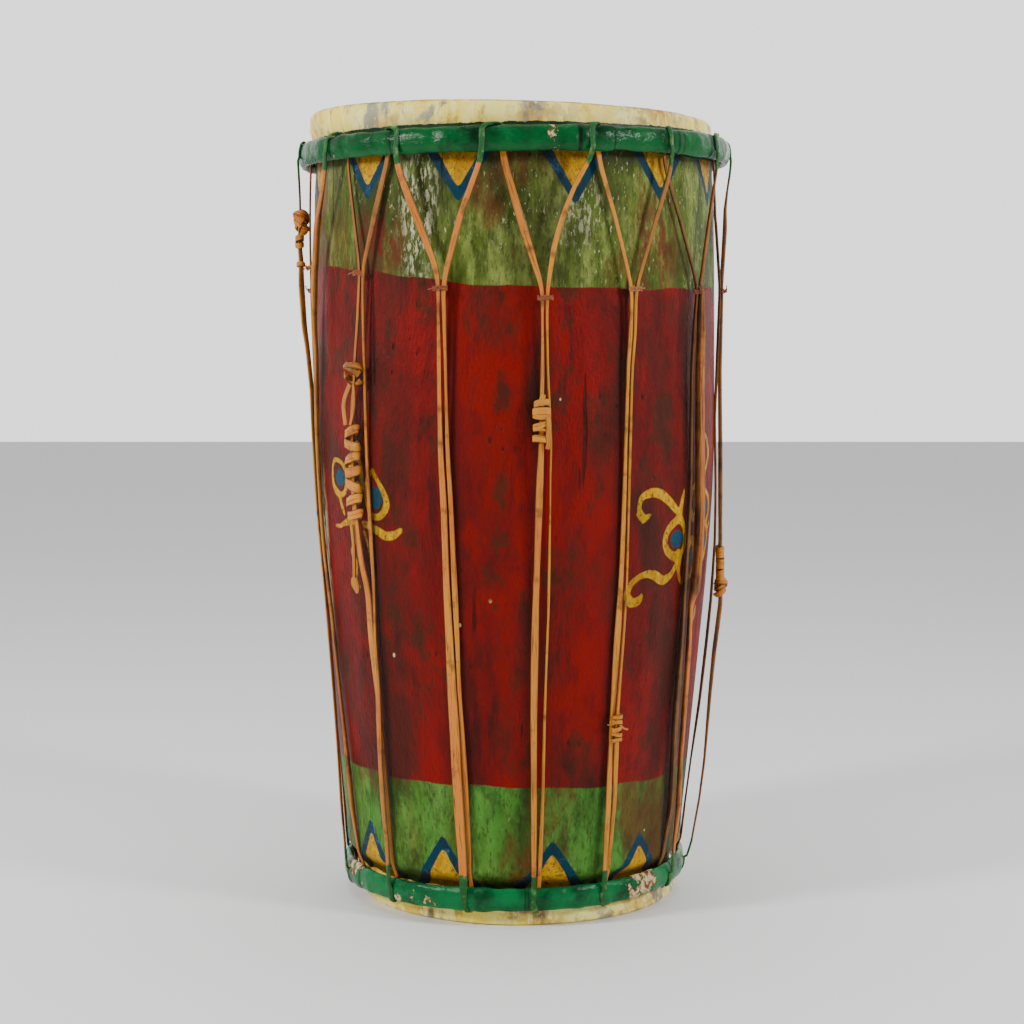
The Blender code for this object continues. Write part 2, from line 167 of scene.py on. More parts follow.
def half_cosine(part: Numbers) -> Numbers:
    """Smooth rise from 0 to 1 over a part from 0 to 1."""
    return (1.0 - np.cos(np.pi * kept(part))) / 2.0


def shell_radius(height: Numbers) -> Array:
    """Outer radius of the shell.

    Args:
        height: Height or heights above the underside.

    Returns:
        The radius at each height: seats at both ends, a belly, and a taper below it.
    """
    z = np.asarray(height, float)
    s = SIZES
    up = kept((z - s.belly_height) / (UPPER_SHOULDER[0] - s.belly_height))
    down = kept((s.belly_height - z) / (s.belly_height - LOWER_SHOULDER[1]))
    bend = s.taper_rounding
    drop = (np.hypot(down, bend) - bend) / (math.hypot(1.0, bend) - bend)
    radius = s.belly_radius - (s.belly_radius - s.upper_radius) * up**2
    radius = radius - (s.belly_radius - s.lower_radius) * drop
    top = half_cosine((z - UPPER_SHOULDER[0]) / (UPPER_SHOULDER[1] - UPPER_SHOULDER[0]))
    low = half_cosine((LOWER_SHOULDER[1] - z) / (LOWER_SHOULDER[1] - LOWER_SHOULDER[0]))
    return radius - s.upper_rebate * top - s.lower_rebate * low


def rim_tilt(height: Array, x: Array) -> Array:
    """How far the slanted upper end of the drum lies above or below a level one."""
    low = UPPER_HOOP.height - UPPER_HOOP.depth
    return kept((height - low) / (SIZES.height - low)) * SIZES.rim_slant * x


def leaning(points: Array) -> Array:
    """Leans the drum's two ends a little sideways, as the shrunken skins pulled them.

    Args:
        points: Points, their last axis x, y and z.

    Returns:
        The points, those near either end moved along x.
    """
    z = points[..., 2]
    high = kept((z - 0.590) / 0.010) * SIZES.upper_lean
    low = kept((0.014 - z) / 0.012) * SIZES.lower_lean
    return np.concatenate([points[..., :1] + (high + low)[..., None], points[..., 1:]], -1)


def clear_radius(height: float, lift: float) -> float:
    """Radius at which something stays clear of the sloping side of the shell.

    Args:
        height: Height of the point.
        lift: Distance off the shell, square to its side.

    Returns:
        The radius.
    """
    step = 0.002
    slope = float(shell_radius(height + step) - shell_radius(height - step)) / (2 * step)
    return float(shell_radius(height)) + lift * math.hypot(1.0, slope)


def polar(azimuth: float, radius: float, height: float) -> Array:
    """Point at an azimuth in degrees, a radius and a height."""
    turn = math.radians(azimuth)
    return np.array((radius * math.sin(turn), -radius * math.cos(turn), height))


def outward(azimuth: float) -> Array:
    """Unit vector straight out of the drum at an azimuth."""
    return polar(azimuth, 1.0, 0.0)


def unit(vector: Array) -> Array:
    """The vector at length one."""
    return vector / max(float(np.linalg.norm(vector)), 1e-12)


def wrapped(degrees: Array) -> Array:
    """Angles brought between -180 and 180 degrees."""
    return (np.asarray(degrees, float) + 180.0) % 360.0 - 180.0


class Ripple:
    """Smooth seeded noise made of a few sine waves, for shapes that repeat round the drum."""

    def __init__(self, seed: int, waves: int, lowest: int, highest: int) -> None:
        """Draws the waves.

        Args:
            seed: Seed of the draw.
            waves: How many.
            lowest: Fewest crests of a wave in a turn.
            highest: Most crests.
        """
        rng = np.random.default_rng(seed)
        self.turns = rng.integers(lowest, highest + 1, waves)
        self.rises = rng.uniform(-1.0, 1.0, waves)
        self.phases = rng.uniform(0, 2 * np.pi, waves)
        self.scale = math.sqrt(2.0 / waves)

    def __call__(self, angle: Numbers, rise: Numbers = 0.0) -> Array:
        """Value of about -1 to 1.

        Args:
            angle: Angle in radians, over which the noise repeats each turn.
            rise: A second coordinate, over which it wanders.

        Returns:
            The value at each point.
        """
        total = 0.0
        for turns, slope, phase in zip(self.turns, self.rises, self.phases, strict=True):
            total = total + np.sin(turns * np.asarray(angle) + slope * np.asarray(rise) + phase)
        return total * self.scale


# Meshes


class MeshBuilder:
    """Gathers grids and sweeps into one mesh, with a float layer for each named value."""

    def __init__(self, *layers: str) -> None:
        """Starts an empty mesh.

        Args:
            layers: Names of its layers.
        """
        self.points: list[Array] = []
        self.faces: list[Array] = []
        self.caps: list[list[int]] = []
        self.layers: dict[str, list[Array]] = {name: [] for name in layers}
        self.count = 0

    def grid(
        self,
        points: Array,
        values: dict[str, Array],
        along: bool = False,
        capped: bool = False,
    ) -> None:
        """Adds a grid of points as quads, its last column meeting its first.

        Args:
            points: Rows of points, shape (rows, columns, 3).
            values: For each layer, one number for each point.
            along: Whether the last row meets the first.
            capped: Whether the first and last rows are closed by one face each.
        """
        rows, columns = points.shape[:2]
        index = np.arange(rows * columns).reshape(rows, columns) + self.count
        index = np.hstack([index, index[:, :1]])
        if along:
            index = np.vstack([index, index[:1]])
        quads = np.stack([index[:-1, :-1], index[:-1, 1:], index[1:, 1:], index[1:, :-1]], -1)
        self.faces.append(quads.reshape(-1, 4))
        if capped:
            self.caps.append([int(i) for i in index[0, :columns][::-1]])
            self.caps.append([int(i) for i in index[rows - 1, :columns]])
        self.points.append(points.reshape(-1, 3))
        for name, store in self.layers.items():
            store.append(np.broadcast_to(values.get(name, 0.0), (rows, columns)).reshape(-1))
        self.count += rows * columns

    def build(self, name: str, material: Material) -> Piece:
        """Makes the object.

        Args:
            name: Name of the piece.
            material: Its finish.

        Returns:
            The linked object, smooth shaded.
        """
        mesh = bpy.data.meshes.new(name)
        quads = [tuple(int(i) for i in face) for block in self.faces for face in block]
        mesh.from_pydata(np.vstack(self.points).tolist(), [], quads + self.caps)
        for layer, store in self.layers.items():
            data = mesh.attributes.new(layer, "FLOAT", "POINT")
            data.data.foreach_set("value", np.concatenate(store).astype(np.float32))
        mesh.validate()
        mesh.shade_smooth()
        mesh.set_sharp_from_angle(angle=math.radians(50))
        mesh.materials.append(material)
        piece = bpy.data.objects.new(name, mesh)
        bpy.context.scene.collection.objects.link(piece)
        return piece


@dataclass
class Route:
    """Centreline of a strip or cord, with the way its outer face looks at each point."""

    points: list[Array] = field(default_factory=list)
    faces: list[Array] = field(default_factory=list)

    def add(self, point: Array, face: Array) -> None:
        """Adds one point."""
        self.points.append(np.asarray(point, float))
        self.faces.append(unit(np.asarray(face, float)))

    def joined(self, other: "Route") -> "Route":
        """This route followed by another one."""
        return Route(self.points + other.points, self.faces + other.faces)

    def reversed(self) -> "Route":
        """The route walked the other way."""
        return Route(self.points[::-1], self.faces[::-1])

    def frames(self) -> tuple[Array, Array, Array, Array]:
        """Axes along the route.

        Returns:
            Points, side vectors, facing vectors and distance along the route.
        """
        points = np.array(self.points)
        steps = np.diff(points, axis=0)
        lengths = np.linalg.norm(steps, axis=1)
        ways = steps / np.maximum(lengths[:, None], 1e-9)
        along = np.vstack([ways[:1], ways[:-1] + ways[1:], ways[-1:]])
        along /= np.maximum(np.linalg.norm(along, axis=1, keepdims=True), 1e-9)
        side = np.cross(along, np.array(self.faces))
        side /= np.maximum(np.linalg.norm(side, axis=1, keepdims=True), 1e-9)
        face = np.cross(side, along)
        return points, side, face, np.concatenate([[0.0], np.cumsum(lengths)])


class Section(Enum):
    """Cross sections of what is swept along a route."""

    SPLIT = "half-round strip with its bark side out"
    FLAT = "thin strip with soft edges"
    ROUND = "round cord"


def section_outline(section: Section, sides: int) -> Array:
    """Outline of a section in units of half its width and half its depth.

    Args:
        section: Which section.
        sides: Number of points.

    Returns:
        Points of (across, out), the outer face first.
    """
    turn = 2 * np.pi * np.arange(sides) / sides
    across, out = np.cos(turn), np.sin(turn)
    if section is Section.SPLIT:
        out = np.where(out < 0, np.sign(out) * np.abs(out) ** 0.5 * 0.8, out)
        across = np.sign(across) * np.abs(across) ** 0.8
    elif section is Section.FLAT:
        out = np.sign(out) * np.abs(out) ** 0.6
        across = np.sign(across) * np.abs(across) ** 0.55
    return np.stack([across, out], 1)


def sweep(
    builder: MeshBuilder,
    route: Route,
    width: Numbers,
    depth: Numbers,
    section: Section,
    sides: int = 10,
    **values: Numbers,
) -> None:
    """Adds a strip or cord to a builder.

    Args:
        builder: Where the mesh goes.
        route: Its centreline.
        width: Width at each point, or one for all.
        depth: Thickness at each point, or one for all.
        section: Its cross section.
        sides: Number of points round it.
        values: Layer values, one for each point of the route or one for all.
    """
    points, side, face, run = route.frames()
    outline = section_outline(section, sides)
    width = np.broadcast_to(width, len(points))[:, None, None] / 2
    depth = np.broadcast_to(depth, len(points))[:, None, None] / 2
    across = side[:, None, :] * outline[None, :, :1] * width
    out = face[:, None, :] * outline[None, :, 1:] * depth
    layers = {"along": np.repeat(run[:, None], sides, 1)}
    layers["across"] = np.repeat(outline[None, :, 0], len(points), 0)
    for name, value in values.items():
        layers[name] = np.repeat(np.broadcast_to(value, len(points))[:, None], sides, 1)
    builder.grid(points[:, None, :] + across + out, layers, capped=True)


def smooth_curve(points: list[Array], per_span: int) -> Array:
    """Catmull-Rom curve through points.

    Args:
        points: The points that it passes through.
        per_span: Steps between two of them.

    Returns:
        Points of the curve, both ends included.
    """
    p = np.array([points[0], *points, points[-1]], float)
    t = np.linspace(0, 1, per_span, endpoint=False)[:, None]
    spans = []
    for a, b, c, d in zip(p, p[1:], p[2:], p[3:]):
        spans.append(
            0.5 * (2 * b + (c - a) * t + (2 * a - 5 * b + 4 * c - d) * t**2)
            + 0.5 * (3 * b - a - 3 * c + d) * t**3
        )
    return np.vstack([*spans, p[-1:]])


# Finishes


RANGE_ENDS = ("From Min", "From Max", "To Min", "To Max")


class Nodes:
    """Short ways to write a material's nodes."""

    def __init__(self, name: str, shine: float = 0.25) -> None:
        """Starts a material.

        Args:
            name: Its name.
            shine: Specular level of its shader.
        """
        self.shine = shine
        self.material = bpy.data.materials.new(name)
        self.material.use_nodes = True
        self.tree = self.material.node_tree
        self.shader = self.tree.nodes["Principled BSDF"]
        self.place = self.add("ShaderNodeTexCoord").outputs["Object"]

    def add(
        self, kind: str, inputs: dict[str | int, object] | None = None, **settings: object
    ) -> bpy.types.Node:
        """Adds a node.

        Args:
            kind: Blender's name for its type.
            inputs: Sockets or plain values, by the name or number of the input.
            settings: Its properties.

        Returns:
            The node.
        """
        node = self.tree.nodes.new(kind)
        for name, value in settings.items():
            setattr(node, name, value)
        for name, value in (inputs or {}).items():
            self.feed(node.inputs[name], value)
        return node

    def feed(self, socket: Socket, value: object) -> None:
        """Links a socket, or sets its plain value.

        Args:
            socket: The input.
            value: A socket, a colour or a number.
        """
        if isinstance(value, Socket):
            self.tree.links.new(value, socket)
        elif isinstance(value, tuple) and len(value) == 3 and socket.type == "RGBA":
            socket.default_value = (*value, 1.0)
        else:
            socket.default_value = value

    def layer(self, name: str) -> Socket:
        """A float layer of the mesh."""
        return self.add("ShaderNodeAttribute", attribute_name=name).outputs["Fac"]

    def math(self, operation: str, *values: object) -> Socket:
        """A math node."""
        return self.add("ShaderNodeMath", dict(enumerate(values)), operation=operation).outputs[0]

    def stretched(self, stretch: Triple) -> Socket:
        """Object coordinates scaled by a factor on each axis."""
        return self.add("ShaderNodeMapping", {"Vector": self.place, "Scale": stretch}).outputs[0]

    def noise(
        self,
        scale: float,
        detail: float = 5.0,
        rough: float = 0.55,
        stretch: Triple = (1.0, 1.0, 1.0),
        warp: float = 0.0,
        where: Socket | None = None,
    ) -> Socket:
        """Noise of about 0 to 1.

        Args:
            scale: Features in a metre.
            detail: Number of finer layers.
            rough: Strength of the finer layers.
            stretch: Factor on each axis; below 1 draws it out.
            warp: Distortion.
            where: Coordinates, the object's own where none are given.

        Returns:
            The noise.
        """
        place = self.stretched(stretch) if where is None else where
        inputs = {"Vector": place, "Scale": scale, "Detail": detail, "Roughness": rough, "Distortion": warp}
        return self.add("ShaderNodeTexNoise", inputs).outputs["Fac"]

    def cells(self, scale: float, stretch: Triple = (1.0, 1.0, 1.0)) -> Socket:
        """Distance to the nearest of many scattered points.

        Args:
            scale: Points in a metre.
            stretch: Factor on each axis; below 1 draws the cells out.

        Returns:
            The distance, in cells.
        """
        inputs = {"Vector": self.stretched(stretch), "Scale": scale}
        return self.add("ShaderNodeTexVoronoi", inputs, feature="F1").outputs["Distance"]

    def step(self, value: object, low: float, high: float) -> Socket:
        """Smooth rise from 0 at low to 1 at high; falls where low is above high.

        Args:
            value: What is measured.
            low: Where it gives 0.
            high: Where it gives 1.

        Returns:
            A share from 0 to 1.
        """
        ends = (low, high, 0.0, 1.0) if low < high else (high, low, 1.0, 0.0)
        inputs = {"Value": value, **dict(zip(RANGE_ENDS, ends, strict=True))}
        return self.add("ShaderNodeMapRange", inputs, interpolation_type="SMOOTHSTEP").outputs[0]

    def mix(self, share: object, first: object, second: object) -> Socket:
        """Mixes two colours.

        Args:
            share: How much of the second there is.
            first: First colour.
            second: Second colour.

        Returns:
            The mixed colour.
        """
        node = self.add("ShaderNodeMix", data_type="RGBA")
        colours = [i for i in node.inputs if i.type == "RGBA"]
        self.feed(node.inputs["Factor"], share)
        self.feed(colours[0], first)
        self.feed(colours[1], second)
        return next(o for o in node.outputs if o.type == "RGBA")

    def over(
        self, first: object, second: object, noise: object, low: float, high: float, most: float = 1.0
    ) -> Socket:
        """Lays patches of one colour over another.

        Args:
            first: Colour underneath.
            second: Colour of the patches.
            noise: What gives the patches their shape.
            low: Where in the noise they begin.
            high: Where they are full.
            most: How far they cover.

        Returns:
            The mixed colour.
        """
        patches = self.step(noise, low, high)
        return self.mix(patches if most == 1.0 else self.times(patches, most), first, second)

    def times(self, *values: object) -> Socket:
        """Product of several values."""
        return reduce(partial(self.math, "MULTIPLY"), values)

    def plus(self, *values: object) -> Socket:
        """Sum of several values."""
        return reduce(partial(self.math, "ADD"), values)

    def finish(self, colour: Socket, roughness: object, height: Socket, depth: float) -> Material:
        """Wires colour, roughness and bump into the shader.

        Args:
            colour: Base colour.
            roughness: Roughness, as a socket or a number.
            height: Bump height of about 0 to 1.
            depth: What a height of 1 measures, in metres.

        Returns:
            The finished material.
        """
        self.feed(self.shader.inputs["Base Color"], colour)
        self.feed(self.shader.inputs["Roughness"], roughness)
        self.shader.inputs["Specular IOR Level"].default_value = self.shine
        bump = self.add("ShaderNodeBump", {"Distance": depth, "Height": height})
        self.feed(self.shader.inputs["Normal"], bump.outputs["Normal"])
        return self.material


def tint(red: int, green: int, blue: int) -> Colour:
    """Linear colour from screen values of 0 to 255."""
    return tuple(((c / 255 + 0.055) / 1.055) ** 2.4 if c > 10 else c / 3295 for c in (red, green, blue))


@dataclass(frozen=True)
class PaintedShell:
    """Worn oil paint on a hardwood shell: red middle, green ends, blue, yellow and teal."""

    red: Colour = tint(96, 10, 5)
    red_bright: Colour = tint(122, 6, 2)
    red_dull: Colour = tint(72, 22, 12)
    red_dark: Colour = tint(34, 12, 8)
    green: Colour = tint(76, 92, 22)
    green_light: Colour = tint(128, 142, 66)
    green_fresh: Colour = tint(66, 134, 46)
    green_dark: Colour = tint(44, 52, 12)
    earth: Colour = tint(92, 44, 18)
    earth_dark: Colour = tint(54, 30, 10)
    # Pale colour of chipped paint, also used for painted highlight, sheen and glints.
    scraped: Colour = tint(206, 204, 160)
    blue: Colour = tint(4, 50, 68)
    blue_worn: Colour = tint(60, 88, 118)
    yellow: Colour = tint(198, 152, 0)
    ochre: Colour = tint(178, 124, 0)
    teal: Colour = tint(16, 66, 84)
    # Dark colour of dirt, pits and cracks, also used for painted shadow.
    grime: Colour = tint(20, 12, 8)

    def material(self) -> Material:
        """Builds the material, which reads the shell's painted layers.

        Returns:
            The material.
        """
        n = Nodes("painted_wood", 0.11)
        streak = (1.0, 1.0, 0.16)
        ragged = n.math("MULTIPLY_ADD", n.noise(420, 4, 0.7), 2.6, -1.3)
        frayed = n.math("MULTIPLY_ADD", n.noise(110, 5, 0.65, (1, 1, 0.6)), 2.2, -1.1)

        red = n.over(self.red, self.red_bright, n.noise(9, 4, 0.6, (1, 1, 0.4), 0.6), 0.4, 0.6)
        red = n.over(red, self.red_bright, n.noise(26, 5, 0.6, (1, 1, 0.6)), 0.5, 0.62, 0.8)
        red = n.over(red, self.red_dull, n.noise(15, 6, 0.62, (1, 1, 0.5)), 0.48, 0.66)
        red = n.over(red, self.red_dark, n.noise(60, 8, 0.7, streak), 0.54, 0.7, 0.6)
        red = n.over(red, self.earth_dark, n.noise(40, 6, 0.66, (1, 1, 0.6)), 0.53, 0.64, 0.7)
        specks = n.step(n.cells(52, (1, 1, 0.6)), 0.085, 0.05)
        red = n.mix(n.times(specks, n.step(n.noise(16), 0.55, 0.7), 0.8), red, self.grime)

        # Painted sheen: a pale patch on the left side of the red.
        worn = n.times(n.layer("worn"), n.step(n.noise(110, 6, 0.7, (1, 1, 0.3)), 0.44, 0.56))
        red = n.mix(worn, red, self.scraped)

        green = n.over(self.green, self.green_light, n.noise(40, 7, 0.68, (1, 1, 0.3)), 0.44, 0.62)
        fresh = n.times(n.layer("low"), n.step(n.noise(20, 4, 0.6, streak), 0.25, 0.55), 0.85)
        green = n.mix(fresh, green, self.green_fresh)
        green = n.over(green, self.green_dark, n.noise(17, 6, 0.66, (1, 1, 0.4)), 0.46, 0.64, 0.8)
        green = n.over(green, self.green_dark, n.noise(95, 5, 0.66, (1, 1, 0.45)), 0.5, 0.62, 0.5)
        green = n.over(green, self.green_dark, n.noise(480, 4, 0.62, (1, 1, 0.3)), 0.54, 0.62, 0.55)
        # Painted glints: pale flecks over the green, fewer on the lower band.
        painted_glints = n.step(n.noise(520, 4, 0.65, (1, 1, 0.35)), 0.6, 0.68)
        upper = n.math("SUBTRACT", 1.0, n.times(n.layer("low"), 0.75))
        painted_glints = n.times(painted_glints, n.step(n.noise(22, 4), 0.4, 0.6), upper, 0.8)
        green = n.mix(painted_glints, green, self.scraped)
        green = n.over(green, self.earth, n.noise(13, 6, 0.68, (1, 1, 0.45)), 0.51, 0.62, 0.75)
        # Painted highlight: broken pale patches high on the green.
        scraped = n.times(n.layer("scraped"), n.step(n.noise(330, 5, 0.7, (1, 1, 0.3)), 0.5, 0.58))
        green = n.mix(scraped, green, self.scraped)
        bare = n.times(n.layer("bare"), n.step(n.noise(70, 6, 0.7, (1, 1, 0.5)), 0.4, 0.55))
        green = n.mix(bare, green, n.mix(n.noise(200), self.earth, self.red))

        def edge(layer: str, softness: float, fray: float) -> Socket:
            """Share of a painted shape, its edge frayed by a few tenths of a millimetre."""
            signed = n.plus(n.layer(layer), n.times(ragged, 0.5), n.times(frayed, fray))
            return n.step(signed, -softness, softness)

        is_green = edge("green", 0.5, 0.7)
        colour = n.mix(is_green, red, green)
        blue = n.over(self.blue, self.blue_worn, n.noise(90, 6, 0.7), 0.56, 0.7)
        thin_blue = n.step(n.noise(150, 6, 0.75), 0.76, 0.64)
        colour = n.mix(n.times(edge("blue", 0.4, 0.3), thin_blue), colour, blue)
        yellow = n.over(self.yellow, self.ochre, n.noise(170, 5, 0.7, (1, 1, 0.6)), 0.44, 0.6)
        yellow = n.over(yellow, self.earth, n.noise(420, 4, 0.7), 0.56, 0.64, 0.7)
        thin_yellow = n.step(n.noise(300, 6, 0.75), 0.66, 0.56)
        is_yellow = n.times(edge("yellow", 0.35, 0.5), thin_yellow)
        colour = n.mix(is_yellow, colour, yellow)
        colour = n.mix(edge("teal", 0.35, 0.3), colour, self.teal)

        pits = n.step(n.cells(150, (1, 1, 0.45)), 0.22, 0.1)
        pitted = n.times(pits, n.math("MAXIMUM", n.step(n.noise(24, 5), 0.52, 0.68), n.layer("pitted")))
        cracks = n.step(n.noise(130, 3, 0.5, (1, 1, 0.05)), 0.7, 0.74)
        colour = n.mix(n.times(pitted, 0.75), colour, self.grime)
        colour = n.mix(n.times(cracks, 0.6), colour, self.grime)
        smoke = n.times(n.step(n.noise(11, 6, 0.62, (1, 1, 0.25)), 0.52, 0.72), 0.45)
        colour = n.mix(smoke, colour, self.grime)
        # Painted shadow beside some strands, and darkening next to both hoops.
        colour = n.mix(n.times(n.layer("grime"), 0.8), colour, self.grime)
        chips = n.step(n.cells(34, (1, 1, 0.7)), 0.05, 0.035)
        colour = n.mix(n.times(chips, n.step(n.noise(9), 0.56, 0.62)), colour, self.scraped)

        colour = n.over(colour, self.grime, n.noise(75, 4, 0.6, (1, 1, 0.5)), 0.5, 0.64, 0.28)
        grain = n.noise(150, 8, 0.7, (1, 1, 0.08))
        height = n.plus(n.times(grain, 0.35), n.times(n.noise(420, 5, 0.65, (1, 1, 0.5)), 0.9))
        height = n.plus(height, n.times(pitted, -0.9), n.times(cracks, -0.8))
        height = n.plus(height, n.times(is_yellow, 0.25), n.times(scraped, -0.5))
        rough = n.plus(0.30, n.times(n.noise(60, 5, 0.6), 0.24), n.times(is_green, 0.06))
        return n.finish(colour, rough, height, 0.0011)


@dataclass(frozen=True)
class HoopPaint:
    """Thick glossy green paint on bound cane, chipped to the wood in places."""

    green: Colour = tint(8, 84, 38)
    light: Colour = tint(20, 112, 62)
    dark: Colour = tint(3, 34, 16)
    wood: Colour = tint(206, 186, 140)
    rust: Colour = tint(120, 66, 30)
    seam: Colour = tint(8, 16, 8)

    def material(self) -> Material:
        """Builds the material, which reads the hoop's layers.

        Returns:
            The material.
        """
        n = Nodes("hoop_paint", 0.14)
        colour = n.over(self.green, self.dark, n.noise(30, 6, 0.6), 0.42, 0.7)
        colour = n.over(colour, self.light, n.noise(55, 6, 0.7), 0.55, 0.75, 0.7)
        chip_noise = n.plus(n.times(n.layer("chipped"), 0.34), n.noise(95, 7, 0.7))
        chips = n.step(chip_noise, 0.77, 0.79)
        bare = n.over(self.wood, self.rust, n.noise(210, 5, 0.6), 0.45, 0.6)
        colour = n.mix(chips, colour, bare)
        colour = n.over(colour, self.wood, n.noise(330, 6, 0.8, (1, 1, 0.5)), 0.7, 0.76, 0.5)
        colour = n.mix(n.times(n.layer("seam"), 0.85), colour, self.seam)
        height = n.plus(n.times(n.noise(240, 6, 0.6), 0.5), n.times(chips, -0.7))
        ridges = n.times(n.noise(150, 3, 0.5, (0.4, 0.4, 1.6)), 0.7)
        height = n.plus(height, n.times(n.noise(60, 4, 0.6), 0.8), ridges)
        rough = n.plus(0.12, n.times(n.noise(90, 5), 0.2), n.times(chips, 0.4))
        return n.finish(colour, rough, height, 0.0009)


@dataclass(frozen=True)
class Rawhide:
    """Scraped skin, cream with yellow, grey-blue and orange-brown stains."""

    cream: Colour = tint(255, 224, 82)
    pale: Colour = tint(255, 242, 144)
    honey: Colour = tint(206, 156, 70)
    slate: Colour = tint(112, 122, 128)
    rust: Colour = tint(146, 82, 36)
    vein: Colour = tint(96, 62, 38)
    hoop_green: Colour = tint(6, 52, 26)

    def material(self) -> Material:
        """Builds the material, which reads the cap's layers.

        Returns:
            The material.
        """
        n = Nodes("rawhide")
        colour = n.over(self.cream, self.pale, n.noise(24, 5, 0.6), 0.42, 0.62)
        colour = n.over(colour, self.honey, n.noise(17, 6, 0.62), 0.5, 0.66, 0.8)
        slate = n.step(n.noise(20, 5, 0.6, (1, 1, 0.8), 0.4), 0.53, 0.6)
        colour = n.mix(n.times(slate, n.layer("edge"), 0.8), colour, self.slate)
        soot = n.step(n.noise(60, 7, 0.7, (1, 1, 0.4)), 0.52, 0.64)
        colour = n.mix(n.times(soot, n.layer("edge"), 0.6), colour, self.vein)
        glints = n.times(n.step(n.noise(170, 4, 0.6, (1, 1, 0.3)), 0.55, 0.63), n.layer("edge"))
        colour = n.mix(n.times(glints, 0.9), colour, self.pale)
        rust = n.step(n.noise(26, 7, 0.7, (1, 1, 1.2)), 0.55, 0.66)
        colour = n.mix(n.times(rust, 0.65), colour, self.rust)
        veins = n.step(n.noise(70, 2, 0.4, (1, 1, 1), 1.4), 0.505, 0.5)
        colour = n.mix(n.times(veins, n.step(n.noise(12), 0.5, 0.65), 0.25), colour, self.vein)
        colour = n.mix(n.times(n.layer("edge"), n.step(n.noise(220, 6, 0.7), 0.62, 0.72)), colour, self.pale)
        colour = n.mix(n.times(n.layer("soiled"), n.step(n.noise(60, 6, 0.7), 0.35, 0.6)), colour, self.rust)
        line = n.times(n.layer("line"), n.step(n.noise(90, 5, 0.6), 0.35, 0.55))
        colour = n.mix(line, colour, self.vein)
        slop = n.step(n.plus(n.layer("slop"), n.times(n.noise(170, 5, 0.6), 0.8)), 1.0, 1.08)
        colour = n.mix(slop, colour, self.hoop_green)
        height = n.plus(n.times(n.noise(320, 7, 0.65), 0.4), n.times(n.noise(70, 4, 0.6), 0.8))
        rough = n.plus(0.3, n.times(n.noise(80, 5), 0.25))
        for name, value in zip(("Weight", "Radius", "Scale"), (0.12, (0.004, 0.0025, 0.0012), 1.0)):
            n.feed(n.shader.inputs[f"Subsurface {name}"], value)
        return n.finish(colour, rough, height, 0.0009)


@dataclass(frozen=True)
class Rattan:
    """Split rattan: orange-tan bark side with fine grain, darker specks and green paint ends."""

    name: str = "rattan"
    tan: Colour = tint(206, 120, 38)
    gold: Colour = tint(208, 134, 36)
    rust: Colour = tint(132, 56, 12)
    dark: Colour = tint(46, 24, 14)
    green: Colour = tint(14, 80, 30)
    green_light: Colour = tint(92, 124, 58)
    gloss: float = 0.34

    def material(self) -> Material:
        """Builds the material, which reads the strip's layers.

        Returns:
            The material.
        """
        n = Nodes(self.name)
        lengthwise = self.lengthwise(n)
        tone = n.layer("tone")
        colour = n.mix(n.step(n.plus(n.noise(9, 4), n.times(tone, 0.3)), 0.42, 0.72), self.tan, self.gold)
        colour = n.mix(n.step(n.plus(lengthwise, n.times(tone, -0.2)), 0.5, 0.75), colour, self.rust)
        colour = n.over(colour, self.dark, n.noise(420, 6, 0.75), 0.6, 0.68, 0.6)
        colour = n.over(colour, self.dark, n.noise(40, 6, 0.7), 0.55, 0.66, 0.55)
        colour = n.mix(n.times(n.layer("joint"), 0.7), colour, self.dark)
        # Painted shade: both edges of the strip are darkened.
        edge = n.step(n.math("ABSOLUTE", n.layer("across")), 0.74, 1.0)
        colour = n.mix(n.times(edge, 0.75), colour, self.dark)
        colour = n.over(colour, self.dark, lengthwise, 0.52, 0.66, 0.65)
        # Darkening by weathering and by painted shade on shaded strands, with random patches.
        dull_and_shade = n.plus(n.layer("weathered"), n.times(n.step(n.noise(14, 5, 0.6), 0.5, 0.7), 0.35))
        colour = n.mix(n.times(n.math("MINIMUM", dull_and_shade, 1.0), 0.85), colour, self.dark)
        paint = n.over(self.green, self.green_light, n.noise(150, 6, 0.7), 0.5, 0.66)
        covered = n.step(n.plus(n.layer("paint"), n.times(n.noise(190, 6, 0.7), 0.7)), 0.8, 0.9)
        colour = n.mix(covered, colour, paint)
        height = n.plus(lengthwise, n.times(n.noise(600, 4), 0.3), n.times(covered, 0.3))
        rough = n.plus(self.gloss, n.times(n.noise(120, 5), 0.2))
        return n.finish(colour, rough, height, 0.0005)

    def lengthwise(self, n: Nodes) -> Socket:
        """Grain that runs along the strip, read from its own layers.

        Args:
            n: The material's nodes.

        Returns:
            Noise of about 0 to 1, drawn out along the strip.
        """
        spread = {"X": ("along", 22.0), "Y": ("across", 2.4), "Z": ("tone", 37.0)}
        inputs = {axis: n.times(n.layer(layer), factor) for axis, (layer, factor) in spread.items()}
        return n.noise(1.6, 6.0, 0.6, where=n.add("ShaderNodeCombineXYZ", inputs).outputs[0])


@dataclass(frozen=True)
class PaleFloor:
    """Matt, nearly white studio floor."""

    def material(self) -> Material:
        """Builds the material, with the faintest unevenness.

        Returns:
            The material.
        """
        n = Nodes("pale_floor")
        colour = n.mix(n.noise(3.0), (0.86, 0.86, 0.86), (0.88, 0.88, 0.88))
        return n.finish(colour, 0.8, n.noise(400), 0.00005)


# Painted shapes on the shell


